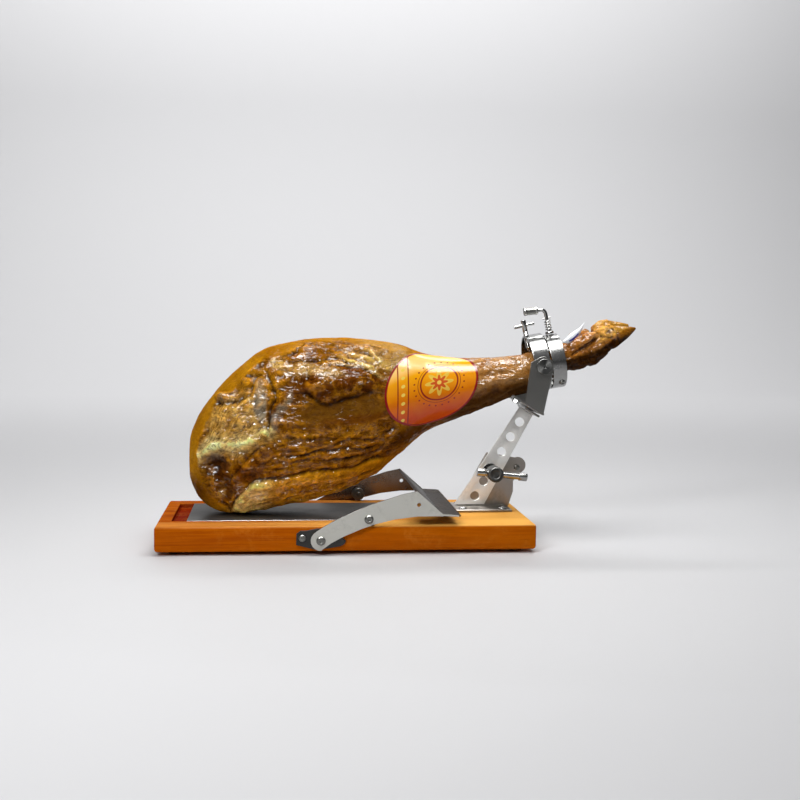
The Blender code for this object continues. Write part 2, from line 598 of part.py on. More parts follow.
def make_rings():
    """Both hoops, the two spacers between them and the set screw."""
    make_ring("ring_left", RING_LEFT, STEEL)
    make_ring("ring_right", RING_RIGHT, STEEL)
    right_face = ring_point(RING_LEFT, RING_LEFT["width"] / 2)
    left_face = ring_point(RING_RIGHT, -RING_RIGHT["width"] / 2)
    room = (left_face - right_face).dot(RING_AXIS) - 2 * GAP
    reach = RING_RIGHT["radius"] - RING_WALL / 2 - 0.0006
    for number, angle in ((1, math.radians(200)), (2, math.radians(245)), (3, math.radians(-60))):
        spoke = RING_UP * math.cos(angle) + Vector((0, 1, 0)) * math.sin(angle)
        start = ring_point(RING_RIGHT, -RING_RIGHT["width"] / 2 - GAP) + spoke * reach
        rod(f"ring_spacer_{number}", start, start - RING_AXIS * room, 0.0014, POLISHED, 12)
    spoke = (-RING_UP * math.cos(math.radians(40)) - Vector((0, 1, 0)) * math.sin(math.radians(40)))
    place = ring_point(RING_RIGHT, 0.003) + spoke * (RING_RIGHT["radius"] + GAP)
    head = ((0.0, 0.0026), (0.0030, 0.0026), (0.0044, 0.0018), (0.0048, 0.0006), (0.0044, 0.0), (0.0, 0.0))
    link("ring_screw", turned_mesh("ring_screw", head, place, spoke, 16), POLISHED)


def make_clamp_screw():
    """The tee screw that presses on the shank through the left hoop."""
    up = Vector((-math.sin(CLAMP_SCREW_TILT), 0.0, math.cos(CLAMP_SCREW_TILT)))
    top = Vector((CLAMP_SCREW_TOP[0], STAND_Y, CLAMP_SCREW_TOP[1]))
    tip = top - up * CLAMP_SCREW_LENGTH
    radius = 0.0038
    hole = turned_mesh("screw_hole", rod_profile(radius + GAP, CLAMP_SCREW_LENGTH), tip, up, 14)
    apply_boolean(bpy.data.objects["ring_left"], link_cutter("screw_hole", hole), "DIFFERENCE")
    profile = ((0.0, CLAMP_SCREW_LENGTH), (radius - 0.0008, CLAMP_SCREW_LENGTH),
               (radius, CLAMP_SCREW_LENGTH - 0.0008), (radius, 0.006), (0.0012, 0.0), (0.0, 0.0))
    screw = link("clamp_screw", turned_mesh("clamp_screw", profile, tip, up, 14), POLISHED)
    side = Vector((math.cos(CLAMP_SCREW_TILT), 0.0, math.sin(CLAMP_SCREW_TILT)))
    middle = top - up * 0.0078
    bore = turned_mesh("bar_bore", rod_profile(0.0025 + GAP, 0.02), middle - side * 0.01, side, 16)
    apply_boolean(screw, link_cutter("bar_bore", bore), "DIFFERENCE")
    rod("clamp_bar", middle - side * 0.0150, middle + side * 0.0150, 0.0025, POLISHED, 16)


def make_plunger():
    """The sprung catch of the right hoop: collar, spring, cross pin, bent rod and grip."""
    up = Vector((-math.sin(PLUNGER_TILT), 0.0, math.cos(PLUNGER_TILT)))
    foot = Vector((PLUNGER_FOOT[0], STAND_Y, PLUNGER_FOOT[1]))
    collar = ((0.0031, 0.0040), (0.0052, 0.0040), (0.0062, 0.0030), (0.0062, 0.0), (0.0031, 0.0))
    link("plunger_collar", turned_mesh("plunger_collar", collar, foot, up, 20, closed=True), POLISHED)
    turns, per_turn, low, high = 4, 8, 0.0052, 0.0200
    side = Vector((math.cos(PLUNGER_TILT), 0.0, math.sin(PLUNGER_TILT)))
    coil = []
    for step in range(turns * per_turn + 1):
        angle = 2 * math.pi * step / per_turn
        rise = low + (high - low) * step / (turns * per_turn)
        coil.append(foot + up * rise + side * 0.0043 * math.cos(angle) + Vector((0, 0.0043 * math.sin(angle), 0)))
    link("plunger_spring", tube_mesh("plunger_spring", coil, 0.0009, 1), POLISHED)
    bend_at, bend_radius, rod_radius = 0.0290, 0.0075, 0.0027
    grip_down = math.radians(8.0)
    out = Vector((-math.cos(grip_down), 0.0, -math.sin(grip_down)))
    path = [foot + up * 0.0004, foot + up * 0.012, foot + up * bend_at]
    start, corner = foot + up * bend_at, foot + up * (bend_at + bend_radius)
    end = corner + out * bend_radius
    for step in range(1, 7):
        t = step / 6
        path.append(start * (1 - t) ** 2 + corner * 2 * t * (1 - t) + end * t * t)
    path.append(end + out * 0.0030)
    link("plunger_rod", tube_mesh("plunger_rod", path, rod_radius, 1), POLISHED)
    pin_at = foot + up * 0.0235
    hole = turned_mesh("pin_hole", rod_profile(0.0012 + GAP, 0.02), pin_at - side * 0.01, side, 12)
    apply_boolean(bpy.data.objects["plunger_rod"], link_cutter("pin_hole", hole), "DIFFERENCE")
    rod("plunger_pin", pin_at - side * 0.0058, pin_at + side * 0.0058, 0.0012, POLISHED, 12)
    grip_start = end + out * (0.0030 + GAP)
    grip = ((0.0, 0.0205), (0.0052, 0.0205), (0.0062, 0.0195), (0.0062, 0.0175), (0.0055, 0.0165),
            (0.0055, 0.0040), (0.0062, 0.0030), (0.0062, 0.0010), (0.0052, 0.0), (0.0, 0.0))
    link("plunger_grip", turned_mesh("plunger_grip", grip, grip_start, out, 12), BLACK)


# ---------------------------------------------------------------- the ham
def curve_through(x, knots, values):
    """A smooth curve through table values: cubic pieces with slopes from the neighbours."""
    knots, values = np.asarray(knots, float), np.asarray(values, float)
    slopes = np.gradient(values, knots)
    i = np.clip(np.searchsorted(knots, x) - 1, 0, len(knots) - 2)
    width = knots[i + 1] - knots[i]
    t = (x - knots[i]) / width
    return ((1 + 2 * t) * (1 - t) ** 2 * values[i] + t * (1 - t) ** 2 * width * slopes[i]
            + t * t * (3 - 2 * t) * values[i + 1] + t * t * (t - 1) * width * slopes[i + 1])


def leg_section(x):
    """Underside, top and half depth of the leg at x.

    The table is read against the square root of the distance from the butt,
    so that the butt closes as a round end and not as a cone.
    """
    table = np.array(LEG_SECTIONS)
    start = table[0, 0]
    reach = np.sqrt(table[:, 0] - start)
    at = np.sqrt(np.maximum(x - start, 0.0))
    low, high, depth = (curve_through(at, reach, table[:, k]) for k in (1, 2, 3))
    return low, high, np.maximum(depth, 0.0)


def distance_to_path(x, z, path):
    """Shortest distance from points (x, z) to a chain of straight pieces."""
    best = np.full(np.shape(x), 1.0)
    for (ax, az), (bx, bz) in zip(path[:-1], path[1:]):
        run_x, run_z = bx - ax, bz - az
        t = np.clip(((x - ax) * run_x + (z - az) * run_z) / (run_x ** 2 + run_z ** 2), 0.0, 1.0)
        best = np.minimum(best, np.hypot(x - ax - t * run_x, z - az - t * run_z))
    return best


def leg_surface(x, angle):
    """Points of the leg: x along it and the angle round it, 0 towards -Y and 90 degrees up.

    A section is a superellipse, squarer on the butt than on the shank, whose
    front half is a little flatter than its back half, less the main creases.
    """
    low, high, depth = leg_section(x)
    middle, half = (low + high) / 2, np.maximum((high - low) / 2, 0.0)
    butt = np.clip((0.06 - x) / 0.16, 0.0, 1.0)
    power = 2.0 / (2.0 + 0.45 * butt)
    c, s = np.cos(angle), np.sin(angle)
    out = np.sign(c) * np.abs(c) ** power
    up = np.sign(s) * np.abs(s) ** power
    depth = depth * np.where(c > 0, 1.0 - 0.06 * butt, 1.0 + 0.06 * butt)
    z = middle + half * up
    dent = sum(deep * np.exp(-(distance_to_path(x, z, path) / width) ** 2)
               for path, deep, width in CREASES)
    dent = dent * np.clip(c * 1.6, 0.0, 1.0)
    size = np.hypot(out * depth, up * half) + 1e-9
    shrink = 1.0 - dent / np.maximum(size, 0.02)
    return np.stack([x + 0 * out, STAND_Y - depth * out * shrink, middle + half * up * shrink], axis=-1)


def leg_grid():
    """Section places (bunched towards both ends) and the angles round the leg."""
    start, end = LEG_SECTIONS[0][0], LEG_SECTIONS[-1][0]
    t = np.linspace(0.0, 1.0, LEG_STATIONS)
    x = start + (end - start) * t ** 1.45
    x[-2] = end - 0.0012
    angles = np.linspace(0.0, 2 * math.pi, LEG_SIDES, endpoint=False)
    return x, angles


def skin_triangles(rows, columns, wrap):
    """Triangles over a grid of points, every cell cut along the same diagonal."""
    faces = []
    for i in range(rows - 1):
        for j in range(columns if wrap else columns - 1):
            a, b = i * columns + j, i * columns + (j + 1) % columns
            c, d = a + columns, b + columns
            faces += [(a, c, b), (b, c, d)]
    return faces


def leg_mesh():
    """The leg from butt to pastern as one closed skin with a pole at each end."""
    x, angles = leg_grid()
    inner_x, inner_angle = np.meshgrid(x[1:-1], angles, indexing="ij")
    rows, columns = inner_x.shape
    points = leg_surface(inner_x, inner_angle).reshape(-1, 3)
    first, last = LEG_SECTIONS[0], LEG_SECTIONS[-1]
    points = np.vstack([points, (first[0], STAND_Y, first[1]), (last[0], STAND_Y, last[1])])
    faces = skin_triangles(rows, columns, True)
    butt, tip = rows * columns, rows * columns + 1
    faces += [(butt, j, (j + 1) % columns) for j in range(columns)]
    top = (rows - 1) * columns
    faces += [(tip, top + (j + 1) % columns, top + j) for j in range(columns)]
    mesh = bpy.data.meshes.new("leg")
    mesh.from_pydata(points.tolist(), [], faces)
    return mesh


def digit_mesh(name, middle, direction, sizes):
    """A toe or dewclaw: a stretched ball that tapers towards its tip."""
    build = bmesh.new()
    bmesh.ops.create_uvsphere(build, u_segments=12, v_segments=8, radius=1.0)
    long_half, wide_half, high_half = sizes
    for vertex in build.verts:
        taper = 1.0 - 0.28 * vertex.co.z
        vertex.co = Vector((vertex.co.x * high_half * taper, vertex.co.y * wide_half * taper,
                            vertex.co.z * long_half))
    mesh = bpy.data.meshes.new(name)
    build.to_mesh(mesh)
    build.free()
    mesh.transform(aim(middle, direction))
    return mesh


def make_ham():
    """The cured leg, its two digits and two dewclaws, as one solid."""
    digits = [digit_mesh(f"digit_{i}", *digit) for i, digit in enumerate(DIGITS)]
    mesh = join_meshes("ham", outward(leg_mesh()), digits)
    link("ham", smooth(mesh, 60.0), RIND)


def make_label():
    """The oval paper label, bent over the front of the leg just off its skin."""
    stations, angles = leg_grid()
    stations = stations[(stations > 0.035) & (stations < 0.205)]
    angles = (angles + math.pi) % (2 * math.pi) - math.pi
    angles = np.sort(angles[(angles > -1.25) & (angles < 1.55)])
    x, angle = np.meshgrid(stations, angles, indexing="ij")
    rows, columns = x.shape
    skin = leg_surface(x, angle)
    along = np.gradient(skin, axis=0)
    round_leg = np.gradient(skin, axis=1)
    normal = np.cross(along, round_leg)
    normal /= np.linalg.norm(normal, axis=-1, keepdims=True)
    if normal[rows // 2, columns // 2, 1] > 0:
        normal = -normal
    under, over = skin + normal * LABEL_LIFT, skin + normal * (LABEL_LIFT + LABEL_SHEET)
    count = rows * columns
    points = np.vstack([under.reshape(-1, 3), over.reshape(-1, 3)])
    faces = skin_triangles(rows, columns, False)
    faces += [(a + count, c + count, b + count) for a, b, c in skin_triangles(rows, columns, False)]
    rim = ([i * columns for i in range(rows)] + [(rows - 1) * columns + j for j in range(1, columns)]
           + [i * columns + columns - 1 for i in range(rows - 2, -1, -1)] + list(range(columns - 2, 0, -1)))
    for a, b in zip(rim, rim[1:] + rim[:1]):
        faces += [(a, b, a + count), (b, b + count, a + count)]
    mesh = bpy.data.meshes.new("label")
    mesh.from_pydata(points.tolist(), [], faces)
    label = link("label", outward(mesh), PAPER)
    oval = [(LABEL_MIDDLE[0] + LABEL_RADII[0] * math.cos(t), LABEL_MIDDLE[1] + LABEL_RADII[1] * math.sin(t))
            for t in np.linspace(0, 2 * math.pi, 48, endpoint=False)]
    cutter = link_cutter("label_trim", plate_mesh("label_trim", [oval], 0.12, STAND_Y - 0.04))
    apply_boolean(label, cutter, "INTERSECT")


TAG_OUTLINE = ((0.3060, 0.2800), (0.3200, 0.2862), (0.3316, 0.2915), (0.3400, 0.2990),
               (0.3455, 0.3060), (0.3495, 0.3180), (0.3400, 0.3095), (0.3300, 0.3010),
               (0.3180, 0.2915), (0.3060, 0.2860))


def make_tag():
    """The white control tag that stands up from under the right hoop."""
    link("tag", plate_mesh("tag", [TAG_OUTLINE], 0.0008, STAND_Y - 0.0215), WHITE)


make_board()
make_feet()
make_hinges()
make_rest()
make_bar()
make_bracket()
make_clamp_knob()
make_yoke()
make_rings()
make_clamp_screw()
make_plunger()
make_ham()
make_label()
make_tag()
bpy.context.view_layer.update()
print(len([o for o in PARTS.objects if o.type == "MESH"]), "pieces")
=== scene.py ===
# %% [markdown]
# # A whole cured ham in its carving stand
# Everything below is fitted to those nodes, so no piece has to be moved afterwards. X
# runs along the ham towards the hoof, Z is up, and the side that faces the reader is -Y.
# Sizes along X are counted from the middle of the board, as in the part's own source,
# and `SHIFT` takes them to the model's frame.

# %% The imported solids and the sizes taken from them
import json
import math

import bmesh
import bpy
import numpy as np
from mathutils import Matrix, Vector

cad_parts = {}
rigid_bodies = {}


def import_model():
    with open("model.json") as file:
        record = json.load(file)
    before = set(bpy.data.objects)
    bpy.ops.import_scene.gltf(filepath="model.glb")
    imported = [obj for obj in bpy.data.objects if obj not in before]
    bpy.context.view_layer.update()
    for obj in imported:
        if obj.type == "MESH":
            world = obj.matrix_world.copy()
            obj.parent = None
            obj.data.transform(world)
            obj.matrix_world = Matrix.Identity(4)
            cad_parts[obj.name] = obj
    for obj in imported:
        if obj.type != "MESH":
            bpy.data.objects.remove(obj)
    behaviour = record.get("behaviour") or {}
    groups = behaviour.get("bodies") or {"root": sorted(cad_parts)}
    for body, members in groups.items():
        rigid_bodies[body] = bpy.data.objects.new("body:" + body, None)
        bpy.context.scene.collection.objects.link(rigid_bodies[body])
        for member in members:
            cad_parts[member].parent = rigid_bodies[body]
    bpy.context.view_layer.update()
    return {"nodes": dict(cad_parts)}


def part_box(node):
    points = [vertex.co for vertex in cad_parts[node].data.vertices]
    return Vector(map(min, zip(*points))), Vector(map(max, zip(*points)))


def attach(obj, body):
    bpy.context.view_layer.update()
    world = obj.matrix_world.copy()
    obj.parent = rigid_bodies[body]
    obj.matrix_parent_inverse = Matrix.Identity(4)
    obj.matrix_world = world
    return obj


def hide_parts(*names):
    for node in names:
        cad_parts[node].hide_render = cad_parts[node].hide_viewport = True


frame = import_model()
nodes = frame["nodes"]
board_low, board_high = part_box("board")
SHIFT = (board_low.x + board_high.x) / 2
STAND_Y = 0.006                       # ham, tray and clamp share this middle plane
node_body = {name: item.parent.name.split(":")[1] for name, item in nodes.items()}
print("solids:", len(nodes), "board middle at x", round(SHIFT, 4))

# %% [markdown]
# ## Camera, floor and light
# A 50 mm lens about 1.6 m away, a little above the board and turned slightly to the
# right.  The turn is given as yaw, pitch and roll, because those are what one changes
# when lining a camera up.

# %% The camera
def camera_matrix(place, yaw, pitch, roll):
    """World matrix: forward = (sin yaw, cos yaw) tilted down by pitch, then rolled about itself."""
    flat = Vector((math.sin(yaw), math.cos(yaw), 0.0))
    right = Vector((math.cos(yaw), -math.sin(yaw), 0.0))
    up = Vector((0.0, 0.0, 1.0))
    forward = flat * math.cos(pitch) - up * math.sin(pitch)
    over = up * math.cos(pitch) + flat * math.sin(pitch)
    side = right * math.cos(roll) + over * math.sin(roll)
    over = over * math.cos(roll) - right * math.sin(roll)
    turn = Matrix((side, over, -forward)).transposed().to_4x4()
    return Matrix.Translation(place) @ turn


camera_data = bpy.data.cameras.new("studio_camera")
camera_data.lens, camera_data.sensor_width = 50.0, 36.0
camera = bpy.data.objects.new("studio_camera", camera_data)
camera.matrix_world = camera_matrix(Vector((SHIFT - 0.0938, -1.5935, 0.3265)), 0.108, 0.0768, 0.0135)
bpy.context.scene.collection.objects.link(camera)
bpy.context.scene.camera = camera
bpy.context.scene.view_settings.view_transform = "Standard"
print("camera at", [round(v, 3) for v in camera.location])

# %% [markdown]
# ### Lights and white cards
# Cured meat and steel live from reflections.  Two soft lights, one above and one at the
# front left, light the object.  Three panels work as a studio's white cards do: they
# show in reflections only, draw the gleam on fat, paper and steel, and leave the
# colours alone.  A weak light behind the ham draws its upper edge, and a strong one far
# behind brightens the backdrop.


# %% Lights
def area_light(name, place, target, size, power, card=False):
    """A rectangular soft light at place that looks at target; a card shows in reflections only."""
    data = bpy.data.lights.new(name, "AREA")
    data.shape, data.size, data.size_y = "RECTANGLE", size[0], size[1]
    data.energy = power
    lamp = bpy.data.objects.new(name, data)
    lamp.location = place
    lamp.rotation_euler = (Vector(target) - Vector(place)).to_track_quat("-Z", "Y").to_euler()
    lamp.visible_diffuse = not card
    bpy.context.scene.collection.objects.link(lamp)


area_light("top_light", (0.08, -0.20, 1.20), (0.02, 0.0, 0.20), (0.90, 0.50), 10.0)
area_light("top_card", (0.08, -0.34, 1.20), (0.04, 0.0, 0.22), (0.95, 0.48), 26.0, card=True)
area_light("front_light", (-0.75, -1.10, 1.00), (-0.08, 0.0, 0.17), (0.30, 0.30), 10.0)
area_light("glint_card", (-0.45, -0.75, 1.15), (-0.10, 0.0, 0.20), (0.40, 0.30), 22.0, card=True)
area_light("front_card", (0.0, -2.2, 1.3), (0.0, 0.0, 0.2), (3.0, 1.6), 2.0, card=True)
area_light("edge_light", (0.25, 0.70, 1.15), (0.0, 0.0, 0.22), (0.8, 0.30), 2.0)
area_light("backdrop_light", (0.0, 2.2, 3.6), (0.0, 4.0, 1.0), (5.0, 0.6), 170.0)

world = bpy.data.worlds.new("studio")
world.use_nodes = True
world.node_tree.nodes["Background"].inputs["Color"].default_value = (0.62, 0.62, 0.64, 1.0)
world.node_tree.nodes["Background"].inputs["Strength"].default_value = 0.11
bpy.context.scene.world = world

# %% [markdown]
# ## Shader helpers
# A material is a small graph.  `put` adds a node and `feed` wires or sets the sockets of
# one, so a recipe below reads from top to bottom and ends with what the shader gets.
# Effects that more than one material needs are built once as node groups: wood grain,
# brushed metal, finger marks and the oily, finely wrinkled skin.


# %% Short ways to add nodes
def feed(tree, node, sockets):
    """Wire outputs to the named inputs of a node, or set the inputs to plain values."""
    for name, value in sockets.items():
        if isinstance(value, bpy.types.NodeSocket):
            tree.links.new(value, node.inputs[name])
        else:
            node.inputs[name].default_value = value


def put(tree, kind, sockets=None, **settings):
    """Add a shader node with its settings, and feed its sockets."""
    made = tree.nodes.new("ShaderNode" + kind)
    for name, value in settings.items():
        setattr(made, name, value)
    feed(tree, made, sockets or {})
    return made


def sums(tree, operation, first, second=0.0, clamp=False):
    """One arithmetic step and its output."""
    made = put(tree, "Math", {0: first, 1: second}, operation=operation, use_clamp=clamp)
    return made.outputs[0]


def times(tree, first, second, clamp=False):
    """A product and its output."""
    return sums(tree, "MULTIPLY", first, second, clamp)


def mixed(tree, factor, first, second, mode="MIX"):
    """Two colours blended by a factor; a colour may be an output or four numbers."""
    made = put(tree, "Mix", {0: factor, 6: first, 7: second}, data_type="RGBA", blend_type=mode)
    return made.outputs[2]


def ranged(tree, value, low, high, new_low=0.0, new_high=1.0):
    """A value carried from one range to another with soft ends."""
    made = put(tree, "MapRange", {"Value": value, "From Min": low, "From Max": high,
                                  "To Min": new_low, "To Max": new_high},
               interpolation_type="SMOOTHSTEP")
    return made.outputs["Result"]


def stretched(tree, coordinates, scale):
    """Coordinates multiplied by a scale for each axis."""
    return put(tree, "Mapping", {"Vector": coordinates, "Scale": scale}).outputs["Vector"]


def noise(tree, coordinates, scale, detail=4.0, roughness=0.55, distortion=0.0):
    """Fractal noise; scale counts features per metre on Object coordinates."""
    made = put(tree, "TexNoise", {"Vector": coordinates, "Scale": scale, "Detail": detail,
                                  "Roughness": roughness, "Distortion": distortion})
    return made.outputs["Fac"]


def bumped(tree, height, distance, strength):
    """A normal tilted by a height; distance is the height of 1 in metres."""
    return put(tree, "Bump", {"Height": height, "Distance": distance, "Strength": strength}).outputs["Normal"]


def length_of(tree, x, y):
    """Length of the vector (x, y)."""
    vector = put(tree, "CombineXYZ", {"X": x, "Y": y}).outputs["Vector"]
    return put(tree, "VectorMath", {0: vector}, operation="LENGTH").outputs["Value"]


def new_group(name, inputs, outputs):
    """An empty node group with named sockets, and its two end nodes."""
    group = bpy.data.node_groups.new(name, "ShaderNodeTree")
    for label, kind, value in inputs:
        socket = group.interface.new_socket(name=label, in_out="INPUT", socket_type="NodeSocket" + kind)
        if value is not None:
            socket.default_value = value
    for label, kind in outputs:
        group.interface.new_socket(name=label, in_out="OUTPUT", socket_type="NodeSocket" + kind)
    return group, group.nodes.new("NodeGroupInput"), group.nodes.new("NodeGroupOutput")


def place_group(tree, group, sockets):
    """Put a group into a material with its own values."""
    return put(tree, "Group", sockets, node_tree=group)


def new_material(name):
    """A material with its tree, its Principled shader and the Object coordinates."""
    material = bpy.data.materials.new(name)
    material.use_nodes = True
    tree = material.node_tree
    shader = tree.nodes["Principled BSDF"]
    return material, tree, shader, put(tree, "TexCoord").outputs["Object"]


print("helpers ready")
# %% [markdown]
# ### Wood grain
# The board is one plank of warm hardwood under oil.  Grain is noise drawn out along the
# plank: broad bands of light and dark, fine fibres inside them, and short dark pores.

# %% Group: wood grain along X
def make_wood_grain():
    """Bands = noise stretched 1:14 along X; fibres = the same at 1:40; pores = thresholded fine noise."""
    group, start, end = new_group(
        "wood_grain",
        [("Vector", "Vector", None), ("Light", "Color", (0.6, 0.2, 0.03, 1)),
         ("Dark", "Color", (0.3, 0.07, 0.01, 1))],
        [("Color", "Color"), ("Height", "Float"), ("Fibre", "Float")])
    vector = start.outputs["Vector"]
    bands = noise(group, stretched(group, vector, (2.2, 30.0, 30.0)), 1.0, 5.0, 0.6, 0.6)
    fibres = noise(group, stretched(group, vector, (9.0, 360.0, 360.0)), 1.0, 3.0, 0.6)
    pores = noise(group, stretched(group, vector, (60.0, 900.0, 900.0)), 1.0, 2.0, 0.5)
    tone = sums(group, "ADD", times(group, bands, 0.72), times(group, fibres, 0.28))
    colour = mixed(group, ranged(group, tone, 0.36, 0.64), start.outputs["Dark"], start.outputs["Light"])
    pore_mask = ranged(group, pores, 0.60, 0.72, 0.0, 0.45)
    colour = mixed(group, pore_mask, colour, start.outputs["Dark"])
    feed(group, end, {"Color": colour, "Height": sums(group, "SUBTRACT", fibres, pore_mask), "Fibre": fibres})
    return group


wood_grain = make_wood_grain()
print("group:", wood_grain.name)

# %% [markdown]
# ### Brushed metal and finger marks
# Sheet steel is finished with a belt, so its roughness runs in fine parallel lines.
# The lines are noise squeezed hard across the belt's way.  Finger marks and oil from
# the ham make soft, slightly duller clouds on top.


# %% Groups: belt lines and finger marks
def make_belt_lines():
    """Roughness = Rough + Spread * (lines - 1/2); lines = noise on squeezed coordinates."""
    group, start, end = new_group(
        "belt_lines",
        [("Vector", "Vector", None), ("Rough", "Float", 0.3), ("Spread", "Float", 0.1)],
        [("Roughness", "Float"), ("Height", "Float")])
    lines = noise(group, start.outputs["Vector"], 1.0, 3.0, 0.7)
    swing = times(group, sums(group, "SUBTRACT", lines, 0.5), start.outputs["Spread"])
    rough = sums(group, "ADD", start.outputs["Rough"], swing, clamp=True)
    feed(group, end, {"Roughness": rough, "Height": lines})
    return group


def make_finger_marks():
    """Clouds 30 mm wide broken up by 4 mm noise, as a mask from 0 to 1."""
    group, start, end = new_group("finger_marks", [("Vector", "Vector", None)], [("Mask", "Float")])
    clouds = noise(group, start.outputs["Vector"], 34.0, 4.0, 0.6, 0.8)
    specks = noise(group, start.outputs["Vector"], 240.0, 3.0, 0.6)
    mask = times(group, ranged(group, clouds, 0.46, 0.70), ranged(group, specks, 0.30, 0.62))
    feed(group, end, {"Mask": mask})
    return group


belt_lines, finger_marks = make_belt_lines(), make_finger_marks()
print("groups:", belt_lines.name, finger_marks.name)

# %% [markdown]
# ### Cured skin
# Skin and dried meat are oily and covered with wrinkles of several sizes.  The group
# gives one height made of three noises (10 mm, 2 mm and 1 mm), a mask of the creases
# between the wrinkles, a mask of the patches where oil lies as a film, and two masks
# that break up the colour.

# %% Group: fine wrinkles of cured skin
def make_cured_skin():
    """Height = Grain * (2.6 * |folds - 1/2| + 0.34 * grain + 0.06 * fine).

    Crease is 1 where folds is near 1/2.  Film, Speckle and Blotch are noises of 8 mm, 4 mm
    and 22 mm, cut off softly on both sides.
    """
    group, start, end = new_group(
        "cured_skin",
        [("Vector", "Vector", None), ("Grain", "Float", 1.0)],
        [(label, "Float") for label in ("Height", "Crease", "Film", "Speckle", "Blotch")])
    vector, wrinkled = start.outputs["Vector"], start.outputs["Grain"]
    film = noise(group, stretched(group, vector, (0.6, 1.0, 1.0)), 130.0, 3.0, 0.55, 0.6)
    folds = noise(group, stretched(group, vector, (0.55, 1.0, 1.0)), 95.0, 4.0, 0.6, 0.9)
    ridged = sums(group, "ABSOLUTE", sums(group, "SUBTRACT", folds, 0.5))
    crease = times(group, ranged(group, ridged, 0.0, 0.048, 1.0, 0.0), wrinkled)
    grain = noise(group, vector, 420.0, 4.0, 0.65, 0.3)
    fine = noise(group, vector, 1100.0, 2.0, 0.5)
    height = sums(group, "ADD", times(group, ridged, 2.6), times(group, grain, 0.34))
    height = sums(group, "ADD", height, times(group, fine, 0.06))
    height = times(group, height, wrinkled)
    speckle, blotch = noise(group, vector, 230.0, 5.0, 0.7, 0.5), noise(group, vector, 46.0, 4.0, 0.6, 0.6)
    feed(group, end, {"Height": height, "Crease": crease,
                      "Film": ranged(group, film, 0.45, 0.55, 0.06, 1.0),
                      "Speckle": ranged(group, speckle, 0.38, 0.66),
                      "Blotch": ranged(group, blotch, 0.36, 0.66)})
    return group


cured_skin = make_cured_skin()
print("group:", cured_skin.name)
# %% [markdown]
# ## Shape helpers
# Most new pieces are one of three kinds.  A **grid** is a surface given as an array of
# rows and columns of points.  A **turned** piece is a profile carried round an axis, as
# on a lathe.  A **dressed** piece is a copy of a sheet-metal solid with its doubles
# merged, its flat faces made whole and its edges rounded, so that they catch the light.

# %% Grids
def grid_faces(rows, columns, wrap=False):
    """Quads between neighbouring rows and columns as one array; wrap joins last and first column."""
    steps = columns if wrap else columns - 1
    i, j = np.meshgrid(np.arange(rows - 1), np.arange(steps), indexing="ij")
    k = (j + 1) % columns
    quads = np.stack([i * columns + j, i * columns + k, (i + 1) * columns + k, (i + 1) * columns + j], -1)
    return quads.reshape(-1, 4)


def make_mesh(name, points, quads):
    """A mesh from arrays of points and quads; quads with a repeated corner become triangles."""
    mesh = bpy.data.meshes.new(name)
    faces = [tuple(dict.fromkeys(face)) for face in quads.tolist()]
    mesh.from_pydata(points.reshape(-1, 3).tolist(), [], faces)
    mesh.shade_smooth()
    return mesh


def finished(mesh, angle):
    """A closed mesh with doubles merged, faces pointing outwards and edges above angle degrees sharp."""
    build = bmesh.new()
    build.from_mesh(mesh)
    bmesh.ops.remove_doubles(build, verts=build.verts, dist=1e-6)
    bmesh.ops.recalc_face_normals(build, faces=build.faces)
    build.to_mesh(mesh)
    build.free()
    mesh.shade_smooth()
    mesh.set_sharp_from_angle(angle=math.radians(angle))
    return mesh


def new_piece(name, mesh, material, node):
    """Put a finished mesh in the scene in place of a solid, on that solid's body, with its slot."""
    piece = bpy.data.objects.new(name, mesh)
    bpy.context.scene.collection.objects.link(piece)
    if not mesh.materials:
        mesh.materials.append(material)
    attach(piece, node_body[node])
    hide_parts(node)
    return piece


def corners(node):
    """Lowest corner, highest corner and middle of a solid's box, as arrays."""
    low, high = (np.array(corner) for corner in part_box(node))
    return low, high, (low + high) / 2


print("a grid of 3 by 3 points has", len(grid_faces(3, 3)), "faces, and", len(grid_faces(3, 3, wrap=True)),
      "when it closes round")


# %% Lathe work
def eased(profile, radius, steps=4):
    """Round the corners of a profile: each corner becomes a parabola between points radius away."""
    points = [np.array(p, float) for p in profile]
    out = [points[0]]
    for before, corner, after in zip(points[:-2], points[1:-1], points[2:]):
        back, on = before - corner, after - corner
        reach = min(radius, np.linalg.norm(back) * 0.45, np.linalg.norm(on) * 0.45)
        first = corner + back / np.linalg.norm(back) * reach
        last = corner + on / np.linalg.norm(on) * reach
        t = np.linspace(0, 1, steps + 1)[:, None]
        out += list((1 - t) ** 2 * first + 2 * t * (1 - t) * corner + t ** 2 * last)
    return np.array(out + [points[-1]])


def across(axis):
    """Two unit directions square to an axis and to each other."""
    axis = np.asarray(axis, float) / np.linalg.norm(axis)
    helper = np.array([0.0, 0.0, 1.0]) if abs(axis[2]) < 0.9 else np.array([1.0, 0.0, 0.0])
    first = np.cross(helper, axis)
    first /= np.linalg.norm(first)
    return axis, first, np.cross(axis, first)


